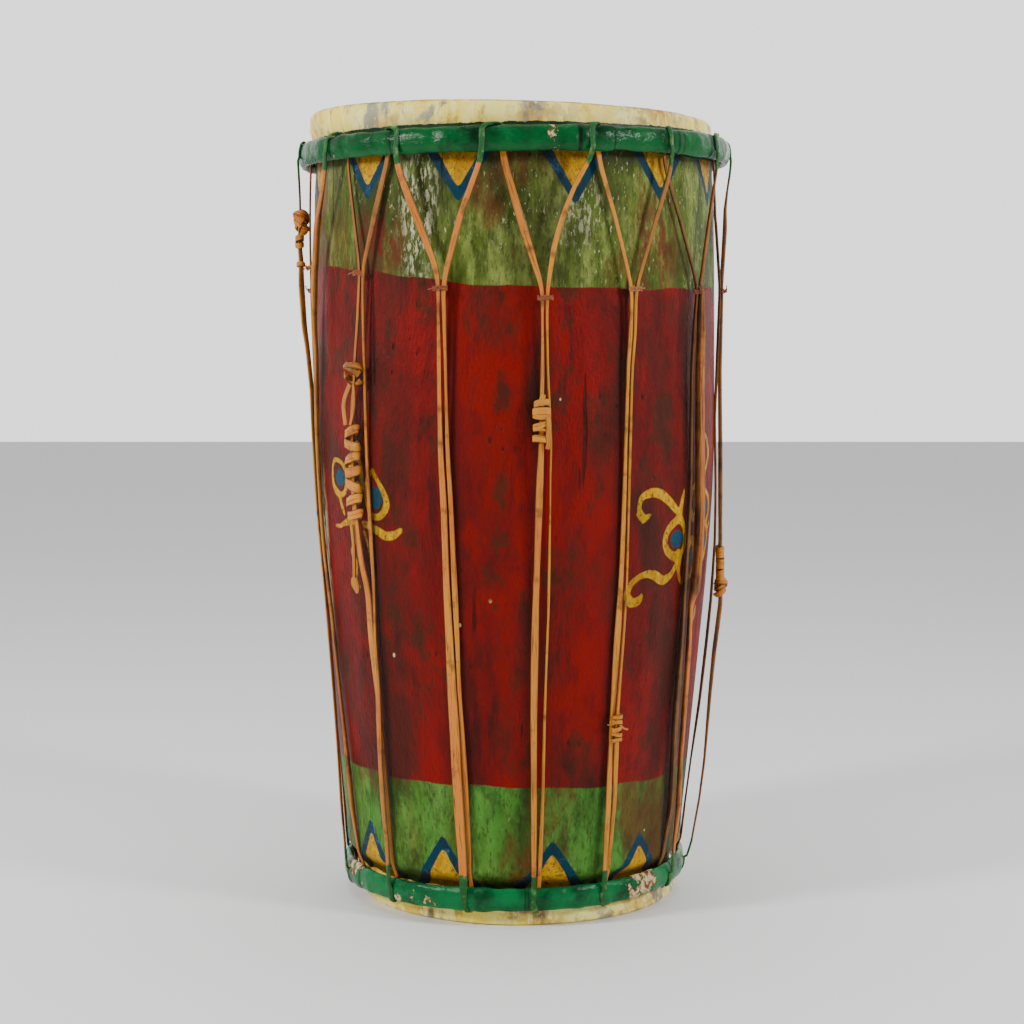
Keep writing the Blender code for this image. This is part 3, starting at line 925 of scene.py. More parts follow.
class Figure:
    """Signed distance, in millimetres, to shapes painted on the shell; positive inside."""

    def __init__(self, azimuth: Array, height: Array) -> None:
        """Starts an empty figure.

        Args:
            azimuth: Azimuth of each point of the shell, in degrees.
            height: Height of each point.
        """
        self.azimuth = azimuth
        self.height = height
        self.radius = shell_radius(height)
        self.field = np.full(height.shape, -50.0)

    def local(self, azimuth: float, height: float) -> tuple[Array, Array]:
        """Millimetres across and up from a point on the shell."""
        across = np.radians(wrapped(self.azimuth - azimuth)) * self.radius
        return across * 1000, (self.height - height) * 1000

    def add(self, distance: Array) -> None:
        """Joins another shape to this one."""
        self.field = np.maximum(self.field, distance)

    def stroke(self, centre: Couple, points: tuple[Triple, ...], mirrored: bool) -> None:
        """A brush stroke of changing width.

        Args:
            centre: Azimuth and height of the motif.
            points: Millimetres across and up from the centre, and half the stroke's width.
            mirrored: Whether left and right are swapped.
        """
        curve = smooth_curve([np.array(p, float) for p in points], 5)
        if mirrored:
            curve = curve * (-1.0, 1.0, 1.0)
        u, v = self.local(*centre)
        low, high = curve.min(0) - 8, curve.max(0) + 8
        near = (u > low[0]) & (u < high[0]) & (v > low[1]) & (v < high[1])
        un, vn = u[near], v[near]
        best = np.full(un.shape, -50.0)
        for (x0, y0, w0), (x1, y1, w1) in zip(curve, curve[1:]):
            span = max((x1 - x0) ** 2 + (y1 - y0) ** 2, 1e-9)
            share = kept(((un - x0) * (x1 - x0) + (vn - y0) * (y1 - y0)) / span)
            away = np.hypot(un - x0 - share * (x1 - x0), vn - y0 - share * (y1 - y0))
            best = np.maximum(best, w0 + (w1 - w0) * share - away)
        self.field[near] = np.maximum(self.field[near], best)

    def oval(self, centre: Couple, at: Couple, half: Couple) -> None:
        """An oval dot.

        Args:
            centre: Azimuth and height of the motif.
            at: Millimetres across and up from the motif's centre.
            half: Half its width and height, in millimetres.
        """
        u, v = self.local(*centre)
        reach = np.hypot((u - at[0]) / half[0], (v - at[1]) / half[1])
        self.add((1.0 - reach) * min(half))

    def patch(self, centre: Couple, half: Couple) -> Array:
        """A soft oval patch.

        Args:
            centre: Azimuth and height of its middle.
            half: Half sizes, in degrees and metres.

        Returns:
            For each point, 1 in the middle, falling to 0 past the half sizes.
        """
        across = wrapped(self.azimuth - centre[0]) / half[0]
        return kept(1.6 - np.hypot(across, (self.height - centre[1]) / half[1]))

    def triangle(self, azimuth: float, tip: float, base: float, half_base: float) -> None:
        """A pointed tooth with a blunt tip.

        Args:
            azimuth: Where its tip points.
            tip: Height of the tip.
            base: Height of the base.
            half_base: Half the width of the base, in millimetres.
        """
        blunt = 2.4
        u, v = self.local(azimuth, tip)
        depth = (base - tip) * 1000
        slope = half_base / abs(depth)
        tall = math.hypot(1, slope)
        v = np.sign(depth) * v + blunt * (tall / slope - 1)
        side = (v * slope - np.abs(u)) / tall
        past = v - blunt * tall / slope
        cap = blunt - np.hypot(u, past)
        self.add(np.where(np.abs(u) * slope + past < 0, cap, side))


@dataclass(frozen=True)
class Motif:
    """A painted flower with curling stems: strokes as (across, up, half width), and dots."""

    strokes: tuple[tuple[Triple, ...], ...]
    dots: tuple[tuple[Couple, Couple], ...]

    def paint(self, yellow: Figure, teal: Figure, centre: Couple, mirrored: bool) -> None:
        """Adds the motif.

        Args:
            yellow: Figure that takes the strokes.
            teal: Figure that takes the dots.
            centre: Azimuth and height of the motif.
            mirrored: Whether left and right are swapped.
        """
        for stroke in self.strokes:
            yellow.stroke(centre, stroke, mirrored)
        for at, half in self.dots:
            place = (-at[0], at[1]) if mirrored else at
            teal.oval(centre, place, half)


RIGHT_MOTIF = Motif(
    strokes=(
        (
            (-77, 7, 0.6), (-80, 14, 2.6), (-82, 20, 1.8), (-79, 27, 2.6), (-69, 30, 3.4),
            (-60, 28, 3.6), (-51, 23, 3.4), (-43, 17, 3), (-36, 11, 2.4), (-34, 6, 2.2),
        ),
        ((-84, 15, 0.8), (-77, 11, 3), (-70, 14, 0.8)),
        ((-31, 31, 1), (-34, 20, 2.4), (-36, 11, 2.4)),
        (
            (-35, 9, 3.2), (-46, 4, 3.2), (-52, -3, 3), (-52, -11, 3), (-47, -17, 3.2),
            (-38, -20, 3.6), (-29, -17, 2.6), (-26, -8, 2.4), (-29, 2, 2.6), (-35, 9, 3),
        ),
        (
            (-35, -17, 2.6), (-35, -24, 2), (-39, -30, 2.2), (-45, -35, 2.8), (-53, -37, 3.6),
            (-61, -33, 3.6), (-69, -31, 2.8), (-78, -33, 2.2), (-85, -38, 2.4), (-88, -45, 3),
            (-84, -51, 3.8), (-77, -51, 3.2), (-73, -46, 1),
        ),
        (
            (-14, 6, 2.4), (-20, 16, 2.4), (-18, 27, 2.2), (-12, 33, 2),
            (-6, 26, 2.2), (-9, 14, 2.4), (-14, 6, 2.4),
        ),
        (
            (-14, -8, 2.4), (-21, -20, 2.4), (-19, -33, 2.2), (-13, -38, 2),
            (-8, -30, 2.2), (-9, -16, 2.4), (-14, -8, 2.4),
        ),
        (
            (12, 27, 1.6), (21, 20, 2.2), (23, 10, 2.2), (15, 1, 2.2),
            (4, 3, 2.2), (1, 12, 2), (5, 22, 2), (12, 27, 1.6),
        ),
        (
            (17, 2, 1.8), (23, -8, 2.4), (22, -18, 2.4), (13, -28, 2.6),
            (3, -26, 2.2), (-2, -16, 2), (2, -6, 2), (10, 0, 1.8),
        ),
        ((38, 0, 0.8), (30, 0, 1.8), (22, -6, 1.6)),
        ((2, 72, 1.2), (9, 69, 2), (14, 62, 2), (16, 54, 1.8), (10, 43, 2), (4, 34, 2.2), (1, 26, 1.8)),
        ((3, 71, 1.6), (-2, 64, 1.4), (-3, 56, 1)),
        ((-3, -27, 1.8), (3, -36, 2), (2, -46, 2), (-5, -54, 1)),
        ((5, -60, 0.8), (5, -69, 2.2), (-1, -76, 1.6)),
        ((-30, -18, 1.6), (-32, -32, 1.8), (-27, -42, 1.4)),
    ),
    dots=(
        ((-38, -7), (8.6, 6.8)),
        ((12, 13), (7.5, 7)),
        ((10, -14), (9.5, 7.6)),
        ((-13, 20), (3.6, 7)),
        ((-14, -23), (3.6, 7.4)),
    ),
)
LEFT_MOTIF = Motif(
    strokes=(
        (
            (-19, 31, 1.6), (-29, 32, 1.8), (-33, 24, 1.6), (-32, 14, 2), (-27, 8, 2.8),
            (-20, 6, 2.2), (-14, 10, 2), (-12, 22, 2), (-19, 31, 1.6),
        ),
        ((-22, 6, 1.6), (-21, 0, 1.8), (-17, -8, 1.2)),
        (
            (20, 27, 1), (24, 20, 1.6), (29, 13, 2.2), (33, 4, 2.8), (31, -3, 2.8),
            (25, -8, 2.6), (17, -7, 2.2), (13, 4, 2.2), (14, 18, 2), (20, 27, 1.4),
        ),
        ((8, -14, 2.2), (16, -16, 3), (24, -19, 3.2), (31, -22, 3.4), (38, -21, 3.2), (45, -17, 1.8)),
        ((-30, -18, 1.2), (-24, -18, 1.8), (-16, -15, 2.2), (-8, -13, 3.4), (-2, -17, 3)),
        (
            (-3, -22, 1.6), (-5, -30, 2), (-8, -37, 2.2), (-4, -44, 2),
            (-5, -54, 1.6), (-11, -59, 2), (-8, -64, 2.2), (-1, -62, 1.4),
        ),
        ((8, -20, 1.6), (12, -32, 1.2), (12, -47, 0.8)),
        ((2, 4, 2.4), (-6, 16, 2.4), (-5, 30, 2.2), (1, 37, 2), (7, 29, 2.2), (7, 15, 2.4), (2, 4, 2.4)),
    ),
    dots=(((-21, 19), (6.5, 6.6)), ((22, 6), (7, 8.4)), ((1, 21), (3.8, 7.4))),
)


@dataclass
class Shell:
    """The hollowed log: one closed skin of mesh, carved and painted."""

    columns: int = 384
    side_rows: int = 226
    upper_border: tuple[Couple, ...] = (
        (-180, 0.482), (-120, 0.489), (-66, 0.4947), (-42, 0.489), (-29, 0.485), (-22, 0.4827),
        (-4, 0.4777), (28, 0.4757), (79, 0.4788), (130, 0.477), (180, 0.482),
    )
    lower_border: tuple[Couple, ...] = (
        (-180, 0.108), (-80, 0.1125), (-62, 0.1117), (-46, 0.1111), (-36, 0.1088), (-21, 0.1090),
        (-1, 0.1088), (12, 0.1077), (22, 0.1064), (45, 0.1045), (57, 0.1045), (72, 0.1100), (180, 0.108),
    )
    upper_tips: tuple[Couple, ...] = (
        (-73.5, 0.541), (-43.6, 0.542), (-14.9, 0.5385), (16.2, 0.537), (43.4, 0.540),
    )
    lower_tips: tuple[Couple, ...] = (
        (-54.5, 0.070), (-23.3, 0.068), (12.2, 0.066), (45.3, 0.064),
    )
    tip_inset: float = 0.0105
    upper_tooth: Couple = (22.0, 13.5)
    lower_tooth: Couple = (23.5, 14.5)
    # Pair and side, -1 left and 1 right, of the strands with a painted shadow band beside them.
    shadowed_beside: tuple[tuple[int, int], ...] = ((2, 1), (3, 1), (4, -1), (5, -1), (6, -1))
    motifs: tuple[tuple[Motif, float, float, bool], ...] = (
        (RIGHT_MOTIF, 66, 0.296, False), (LEFT_MOTIF, -49, 0.316, False), (RIGHT_MOTIF, 188, 0.305, True),
    )

    def build(self) -> Piece:
        """Builds the shell and its painted layers.

        Returns:
            The shell.
        """
        azimuth = np.arange(self.columns) * 360.0 / self.columns
        heights, radii = self.profile()
        angle = np.radians(azimuth)[None, :]
        z = np.repeat(heights[:, None], self.columns, 1)
        r = np.repeat(radii[:, None], self.columns, 1)
        r = r + self.relief(angle, z) * (radii > shell_radius(heights) - 0.001)[:, None]
        x, y = r * np.sin(angle), -r * np.cos(angle)
        points = leaning(np.stack([x, y, z + rim_tilt(z, x)], -1))
        values = self.layers(np.repeat(azimuth[None, :], len(heights), 0), z)
        builder = MeshBuilder(*values)
        builder.grid(points, values, along=True)
        return builder.build("painted_shell", PaintedShell().material())

    def profile(self) -> tuple[Array, Array]:
        """Goes round the wall's section, down the outside and up the bore.

        Returns:
            Heights and radii.
        """
        s = SIZES
        top, bottom = s.height - s.skin - s.gap, s.skin + s.gap
        turn = np.radians((90, 60, 30, 0))
        side = np.linspace(UPPER_SHOULDER[1] + 0.002, LOWER_SHOULDER[0] - 0.002, self.side_rows)
        bore = np.linspace(bottom, top, 6)
        heights = [
            top - s.rim_rounding * (1 - np.sin(turn)),
            side,
            bottom + s.rim_rounding * (1 - np.sin(turn[::-1])),
            bore,
        ]
        radii = [
            s.upper_seat - s.rim_rounding * (1 - np.cos(turn)),
            shell_radius(side),
            s.lower_seat - s.rim_rounding * (1 - np.cos(turn[::-1])),
            shell_radius(bore) - s.wall,
        ]
        return np.concatenate(heights), np.concatenate(radii)

    def relief(self, angle: Array, z: Array) -> Array:
        """Adze facets, dents and long shallow checks, all cut inwards.

        Args:
            angle: Azimuths in radians.
            z: Heights.

        Returns:
            Radial offset, never above zero.
        """
        broad = Ripple(3, 14, 2, 9)(angle, z * 18)
        facets = Ripple(5, 22, 14, 40)(angle, z * 30)
        fine = Ripple(8, 30, 40, 110)(angle, z * 60)
        cut = 0.00035 * (broad - 1.6) + 0.00016 * (facets - 1.4) + 0.00006 * (fine - 1.4)
        fade = kept((UPPER_SHOULDER[1] - z) / 0.02) * kept((z - LOWER_SHOULDER[1]) / 0.02)
        return np.minimum(cut, 0.0) * fade

    def layers(self, azimuth: Array, z: Array) -> dict[str, Array]:
        """Values that the paint reads.

        Args:
            azimuth: Azimuth of each point of the mesh, in degrees.
            z: Height of each point.

        Returns:
            For each layer, its value at each point.
        """
        angle = np.radians(azimuth)
        wave = Ripple(11, 8, 5, 24)(angle) * 0.6
        turn = wrapped(azimuth)
        upper = (z - np.interp(turn, *zip(*self.upper_border))) * 1000 + wave
        lower = (np.interp(turn, *zip(*self.lower_border)) - z) * 1000 + wave
        blue, yellow, teal = (Figure(azimuth, z) for _ in range(3))
        patch = blue.patch
        self.paint_teeth(blue, yellow)
        for motif, at, height, mirrored in self.motifs:
            motif.paint(yellow, teal, (at, height), mirrored)
        return {
            "green": np.maximum(upper, lower),
            "blue": blue.field,
            "yellow": yellow.field,
            "teal": teal.field,
            "low": kept((0.25 - z) / 0.1),
            # Painted highlight high on the green, either side of the front.
            "scraped": patch((-26.5, 0.535), (4.5, 0.048)) * 0.9
            + patch((18.0, 0.53), (5.0, 0.02)) * 0.5,
            "bare": patch((-40.0, 0.513), (7.5, 0.020))
            + patch((-66.0, 0.528), (8.0, 0.038)) * 0.55
            + patch((42.0, 0.505), (6.5, 0.036)) * 0.85,
            # Painted sheen on the left side of the red.
            "worn": patch((-69.0, 0.275), (2.2, 0.045)) * 0.8,
            # Painted shadow beside some strands, and darkening next to both hoops.
            "grime": self.grime(azimuth, z),
            "pitted": patch((-33.0, 0.417), (7.0, 0.030)),
        }

    def paint_teeth(self, blue: Figure, yellow: Figure) -> None:
        """Paints the rows of blue-edged yellow teeth that point in from both hoops.

        Args:
            blue: Figure that takes the outer teeth.
            yellow: Figure that takes the inner ones.
        """
        for azimuth, tip in self.spread_round(self.upper_tips, 8):
            blue.triangle(azimuth, tip, UPPER_HOOP.bottom, self.upper_tooth[0])
            yellow.triangle(azimuth, tip + self.tip_inset, UPPER_HOOP.bottom, self.upper_tooth[1])
        for azimuth, tip in self.spread_round(self.lower_tips, 7):
            blue.triangle(azimuth, tip, LOWER_HOOP.top, self.lower_tooth[0])
            yellow.triangle(azimuth, tip - self.tip_inset, LOWER_HOOP.top, self.lower_tooth[1])

    def spread_round(self, seen: tuple[Couple, ...], hidden: int) -> list[Couple]:
        """Places of the teeth that show, and of evenly spread ones round the back.

        Args:
            seen: Azimuth and tip height of the teeth that show.
            hidden: How many there are round the back.

        Returns:
            Azimuth and tip height of them all.
        """
        step = (360.0 - (seen[-1][0] - seen[0][0])) / (hidden + 1)
        return [*seen, *((seen[-1][0] + step * (i + 1), seen[-1][1]) for i in range(hidden))]

    def grime(self, azimuth: Array, z: Array) -> Array:
        """Darkening next to both hoops, and painted shadow bands beside some strands.

        Args:
            azimuth: Azimuth of each point, in degrees.
            z: Height of each point.

        Returns:
            Strength of the darkening and painted shadow, from 0 to 1.
        """
        high = kept(1 - (UPPER_HOOP.bottom - z) / 0.008)
        low = kept(1 - (z - LOWER_HOOP.top) / 0.006)
        darkening = np.maximum(high * 0.7, low)
        # Painted shadow: a dark band beside each of these strands.
        for number, side in self.shadowed_beside:
            heights, middle, _ = zip(*STRANDS[number, Side(side)])
            edge = np.interp(z * 1000, heights, middle)
            away = np.radians(wrapped(azimuth - edge)) * shell_radius(z) * side * 1000
            shadow_band = kept((away + 1) / 2) * kept((8.5 - away) / 4.0)
            tall = kept((0.47 - z) / 0.03) * kept((z - 0.06) / 0.05)
            darkening = np.maximum(darkening, shadow_band * tall * 0.6)
        return darkening


@dataclass
class Head:
    """A rawhide cap: flat skin, rounded edge and a skirt tucked under its hoop."""

    name: str
    upper: bool
    hoop: HoopSizes
    edge_bend: float = 0.0045
    columns: int = 288

    def build(self) -> Piece:
        """Builds the cap with the unevenness of shrunken skin.

        Returns:
            The cap.
        """
        outer, inner = self.outlines()
        outline = np.vstack([outer, inner])
        angle = 2 * np.pi * np.arange(self.columns) / self.columns
        r = np.repeat(outline[:, :1], self.columns, 1)
        depth = np.repeat(outline[:, 1:], self.columns, 1)
        seed = 21 if self.upper else 31
        skirt = kept(depth / 0.006)
        seen_hem = 0.0006 if self.upper else 0.0005
        pucker = Ripple(seed, 16, 18, 60)(angle)[None, :] * 0.00022
        swell = Ripple(seed + 1, 7, 3, 11)(angle)[None, :] * 0.00025
        hem = Ripple(seed + 2, 12, 4, 40)(angle)[None, :]
        rim = kept((r / outline[:, 0].max() - 0.9) / 0.1)
        r = r + (pucker * skirt - 0.0003 + swell * 0.6) * rim
        deep = kept((depth - 0.75 * depth.max()) / (0.25 * depth.max()))
        depth = depth + deep * (hem * seen_hem - 0.0015)
        depth = depth + (np.abs(swell) * rim * (1 - skirt) + 0.00006) * self.upper
        z = SIZES.height - depth if self.upper else depth
        x, y = r * np.sin(angle), -r * np.cos(angle)
        if self.upper:
            z = z + rim_tilt(z, x)
        points = leaning(np.stack([x, y, z], -1))
        values = {"edge": kept((r - 0.9 * r.max()) / (0.08 * r.max()))}
        soiled = kept((depth - 0.2 * depth.max()) / depth.max())
        values["soiled"] = soiled * (0.6 if self.upper else 0.9)
        corner = np.hypot(r - r.max() + 0.7 * self.edge_bend, depth)
        values["line"] = np.exp(-((corner / 0.0016) ** 2)) * self.upper
        hoop_edge = UPPER_HOOP.top + UPPER_HOOP.slant * x
        values["slop"] = kept(1.2 - (z - hoop_edge) / 0.003) * self.upper
        builder = MeshBuilder("edge", "soiled", "line", "slop")
        order = slice(None) if self.upper else slice(None, None, -1)
        builder.grid(points[order], {k: v[order] for k, v in values.items()}, capped=True)
        return builder.build(self.name, Rawhide().material())

    def outlines(self) -> tuple[Array, Array]:
        """Works out the cap's section.

        Returns:
            Outer and inner outline as rows of (radius, depth from the drum's end).
        """
        outside = self.hoop.seat + SIZES.gap + SIZES.skin
        hem = abs((SIZES.height if self.upper else 0.0) - (UPPER_HEM if self.upper else LOWER_HEM))
        bend = self.edge_bend
        arc = np.radians(np.linspace(90, 0, 9))
        flat = outside - bend
        rings = np.array([0.004, 0.3, 0.55, 0.75, 0.88, 0.96]) * flat
        outer = [(r, 0.0) for r in rings]
        outer += [(outside - bend * (1 - math.cos(a)), bend * (1 - math.sin(a))) for a in arc]
        outer += [(outside, d) for d in np.linspace(bend, hem, 12)[1:]]
        inside, inner_bend = outside - SIZES.skin, bend - SIZES.skin
        inner = [(inside, d) for d in np.linspace(hem, bend, 5)]
        inner += [
            (inside - inner_bend * (1 - math.cos(a)), SIZES.skin + inner_bend * (1 - math.sin(a)))
            for a in arc[::-1][1:]
        ]
        inner += [(r, SIZES.skin) for r in (0.6 * flat, 0.004)]
        return np.array(outer), np.array(inner)


@dataclass(frozen=True)
class Collar:
    """A thicker stretch of a hoop, such as a splice or a cane joint."""

    azimuth: float
    half_width: float
    rise: float


@dataclass
class Hoop:
    """A cane hoop: oval ring with joints, splices, bindings and chipped paint.

    A chip is its azimuth, half its width in degrees, and how much paint is gone there.
    """

    name: str
    sizes: HoopSizes
    collars: tuple[Collar, ...]
    chips: tuple[Triple, ...]
    seed: int
    slimmer: float = 0.0
    columns: int = 720
    sides: int = 24

    def build(self, paint: HoopPaint) -> Piece:
        """Builds the ring.

        Args:
            paint: Its paint.

        Returns:
            The ring.
        """
        azimuth = np.arange(self.columns) * 360.0 / self.columns
        angle = np.radians(azimuth)
        turn = 2 * np.pi * np.arange(self.sides) / self.sides
        rise, seam = self.profile_round(azimuth)
        lumps = Ripple(self.seed, 18, 5, 46)(angle) * 0.00024 + Ripple(self.seed + 1, 9, 2, 8)(angle) * 0.0002
        swell = rise + lumps - 0.0007
        out = (self.sizes.width / 2 + swell)[:, None] * np.cos(turn)[None, :]
        up = (self.sizes.depth / 2 + swell - self.slimmer)[:, None] * np.sin(turn)[None, :]
        dents = Ripple(self.seed + 2, 26, 30, 90)(angle[:, None], turn[None, :] * 3) * 0.00014
        r = self.sizes.radius + out * (1 + dents / 0.005)
        wander = Ripple(self.seed + 3, 5, 2, 5)(angle)[:, None] * 0.0004
        x, y = r * np.sin(angle)[:, None], -r * np.cos(angle)[:, None]
        z = self.sizes.height + up + wander + self.sizes.slant * x
        chipped = np.zeros_like(z)
        for at, half, strength in self.chips:
            near = kept(1.4 - np.abs(wrapped(azimuth - at)) / half)
            chipped = np.maximum(chipped, near[:, None] * strength)
        values = {"seam": np.repeat(seam[:, None], self.sides, 1), "chipped": chipped}
        builder = MeshBuilder("seam", "chipped")
        builder.grid(np.stack([x, y, z], -1), values, along=True)
        return builder.build(self.name, paint.material())

    def profile_round(self, azimuth: Array) -> tuple[Array, Array]:
        """Splices and joints round the ring.

        Args:
            azimuth: Azimuths, in degrees.

        Returns:
            How far the cane swells at each azimuth, and how dark its seams are.
        """
        rise, seam = np.zeros_like(azimuth), np.zeros_like(azimuth)
        for collar in self.collars:
            away = np.abs(wrapped(azimuth - collar.azimuth))
            rise += collar.rise * kept((collar.half_width - away) / 0.35 + 0.5)
            line = kept(1 - np.abs(away - collar.half_width) / 0.4)
            seam = np.maximum(seam, line)
        return rise, seam


# Lacing


STRIP_LAYERS = ("along", "across", "tone", "joint", "paint", "weathered")


class Side(Enum):
    """The two strands of a pair."""

    LEFT = -1
    RIGHT = 1


LEFT, RIGHT = Side


# Points listed along each front strand: height in millimetres, azimuth in degrees, width in millimetres.
STRANDS: dict[tuple[int, Side], tuple[Triple, ...]] = {
    (1, LEFT): (
        (37, -72.7, 2.3), (61, -72.6, 3.1), (126, -71.5, 2.7), (166, -71, 2.7), (224, -70.9, 3.1),
        (285, -72.2, 3.5), (370, -75.2, 3.9), (433, -75.9, 3.9), (448, -77, 4.8), (479, -78, 6),
        (511, -78, 5), (539, -77.4, 2.3), (570, -77, 1.9),
    ),
    (1, RIGHT): (
        (41, -64.1, 4.6), (66, -63.8, 4.6), (105, -63.8, 4.6), (129, -64.7, 3.5), (168, -65.8, 3.1),
        (225, -66.1, 3.5), (286, -68.5, 3.8), (370, -69.6, 4.2), (433, -67.6, 4.6), (448, -68.3, 5.4),
        (495, -65.7, 5.7), (529, -61.3, 5.3), (567, -55.4, 4.5),
    ),
    (2, LEFT): (
        (53, -43, 3.7), (92, -43, 3.4), (138, -42.8, 3), (176, -43.6, 3.3), (215, -44.1, 4.8),
        (253, -43.7, 6.3), (271, -45.3, 7.4), (300, -46.2, 5.9), (320, -46.8, 4.5), (353, -47, 3.7),
        (386, -47.2, 3), (409, -46, 3), (420, -46, 3), (453, -44.6, 3.2), (488, -43.8, 2.5),
        (491, -43.6, 2.5), (570, -50.4, 2.5),
    ),
    (2, RIGHT): (
        (51, -43.3, 3.8), (75, -43.3, 4.5), (114, -43.4, 5.2), (138, -43.2, 4.8), (176, -42.6, 4.5),
        (215, -42.6, 3.7), (253, -42.4, 3.3), (305, -42.5, 3.7), (353, -42.9, 3), (453, -43, 2.6),
        (491, -42.5, 3.4), (540, -38, 5.1), (571, -34.9, 4.4),
    ),
    (3, LEFT): (
        (48, -15.8, 7.3), (84, -16.5, 7.3), (122, -17.1, 6.9), (144, -17.2, 7.3), (182, -17.8, 6.9),
        (220, -18.1, 6.2), (257, -18.5, 6.2), (315, -18.7, 5.1), (359, -19.4, 4.7), (396, -19.5, 4),
        (417, -19.5, 3.6), (439, -19.4, 2.9), (460, -19.5, 1.9), (476, -19.3, 2.9), (492, -20, 4.3),
        (535, -26, 5.8), (566, -29.9, 4.7),
    ),
    (3, RIGHT): (
        (47, -14.1, 3.3), (83, -14.4, 4), (122, -14.9, 4.4), (144, -15.1, 3.3), (182, -15.7, 3.6),
        (220, -15.9, 4), (257, -16.2, 4), (315, -16.7, 3.6), (360, -17.5, 3.1), (396, -17.7, 2.2),
        (417, -17.7, 2.2), (439, -17.9, 2.5), (460, -17.9, 3.2), (476, -18.1, 3.2), (485, -17.6, 4.3),
        (529, -13.1, 5), (568, -7.8, 4.3),
    ),
    (4, LEFT): (
        (50, 6, 3.6), (62, 5.9, 3.9), (100, 5.8, 4.7), (161, 5.5, 5.4), (206, 5.6, 5.4),
        (239, 5.7, 5.1), (347, 6.6, 5), (360, 6.8, 3.9), (397, 6.9, 2.9), (417, 7.1, 2.7),
        (439, 7.1, 1.9), (467, 7, 1.8), (474, 7.2, 3.6), (527, 1.4, 5.7), (570, -3, 5.4),
    ),
    (4, RIGHT): (
        (48, 8.1, 2.9), (61, 8.3, 3.1), (99, 8.6, 2.6), (160, 8.7, 2.2), (205, 9, 1.9),
        (239, 9.3, 1.9), (347, 9.4, 1.8), (360, 9.6, 1.6), (396, 8.9, 1.7), (417, 8.5, 1.7),
        (439, 8.3, 2.2), (467, 8.2, 2.2), (479, 8.5, 3.2), (507, 9.9, 3.9), (530, 12.2, 3.9),
        (556, 15.9, 3.6), (569, 19.2, 3.2),
    ),
    (5, LEFT): (
        (50, 29.2, 4.4), (69, 29.2, 4.4), (96, 29.4, 4), (127, 29.3, 4), (157, 29.3, 3.8),
        (180, 29.6, 5), (203, 29.8, 5.4), (229, 30.1, 5.5), (255, 30.3, 4.8), (327, 30.4, 3.2),
        (417, 30.7, 2.6), (446, 31.3, 2.6), (474, 31.3, 2.6), (478, 31.1, 2.9), (525, 26.9, 4),
        (570, 22.1, 4),
    ),
    (5, RIGHT): (
        (48, 31.7, 3.3), (68, 31.7, 3.7), (95, 31.7, 4.4), (127, 30.9, 4.6), (161, 30.3, 2.2),
        (180, 30.7, 1.9), (203, 31.2, 1.8), (229, 31.7, 1.8), (255, 32, 1.8), (327, 31.8, 2.6),
        (417, 31.9, 2.6), (446, 32.6, 2.6), (474, 32.5, 2.9), (480, 33.1, 3.3), (522, 37.6, 3.7),
        (557, 41.7, 3.7), (568, 42.4, 3.7),
    ),
    (6, LEFT): (
        (52, 58.9, 5.3), (84, 59.2, 6.5), (116, 57.9, 6.1), (148, 56.6, 6.1), (203, 56.9, 4.5),
        (249, 56.4, 3.8), (324, 56.6, 3), (416, 55, 3), (446, 55.4, 3), (479, 56.6, 2.6),
        (516, 50.7, 3), (555, 45.2, 3), (568, 43.5, 3),
    ),
    (6, RIGHT): (
        (51, 62.7, 4.3), (83, 62.3, 4.8), (115, 61.6, 4.2), (162, 61.3, 4.8), (201, 61.3, 4.8),
        (236, 60.5, 4.6), (243, 60.6, 6.1), (248, 61, 8.4), (285, 61.4, 8), (323, 60.3, 8.3),
        (416, 57.9, 7.6), (446, 57.8, 7.2), (475, 57.7, 5.3), (479, 58.3, 3), (517, 60, 3),
        (546, 62.1, 3), (568, 63.8, 3),
    ),
    (7, LEFT): (
        (39, 83, 2), (71, 83, 2), (104, 83, 2.2), (136, 83, 2.8), (192, 83, 2.8),
        (280, 83, 2.6), (376, 83, 2.6), (479, 82.4, 2.8), (535, 79, 3.2), (576, 73, 3.2),
    ),
    (7, RIGHT): (
        (38, 84.5, 2.2), (104, 84.5, 2.8), (160, 84.5, 3.6), (221, 84.5, 4.7), (300, 84.5, 4.2),
        (415, 84.5, 4.6), (479, 84.8, 3.4), (535, 86, 4.7), (575, 88, 4.7),
    ),
}
# How a strand is darkened, by grey weathering and by painted shade: height in millimetres, share.
DULLED_AND_SHADED: dict[tuple[int, Side], tuple[Couple, ...]] = {
    (1, LEFT): ((300, 0.15), (520, 0.15), (545, 0.9)),
    (1, RIGHT): ((300, 0.3), (560, 0.25)),
    (2, LEFT): ((270, 0.0), (380, 0.15), (470, 0.3), (500, 0.6)),
    (2, RIGHT): ((440, 0.1), (500, 0.45)),
    (3, LEFT): ((452, 0.0), (458, 0.7), (464, 0.7), (470, 0.1)),
    (5, RIGHT): ((470, 0.15), (500, 0.65)),
    (6, LEFT): ((60, 0.85), (440, 1.0), (560, 0.9)),
    (6, RIGHT): ((240, 0.1), (262, 0.5), (290, 0.35), (440, 0.3), (490, 0.6)),
    (7, LEFT): ((60, 0.8), (280, 0.75), (300, 0.1), (390, 0.1), (410, 0.7), (560, 0.75)),
    (7, RIGHT): ((60, 0.5), (280, 0.5), (560, 0.7)),
}
# Pairs whose strands are whole canes, and the heights between which they are left round.
ROUND_CANE = (1, 6, 7)
ROUND_FROM, ROUND_TO = 0.045, 0.555
# The strand with a scarf joint, and its height.
SCARF_STRAND, SCARF_HEIGHT = (6, RIGHT), 0.250
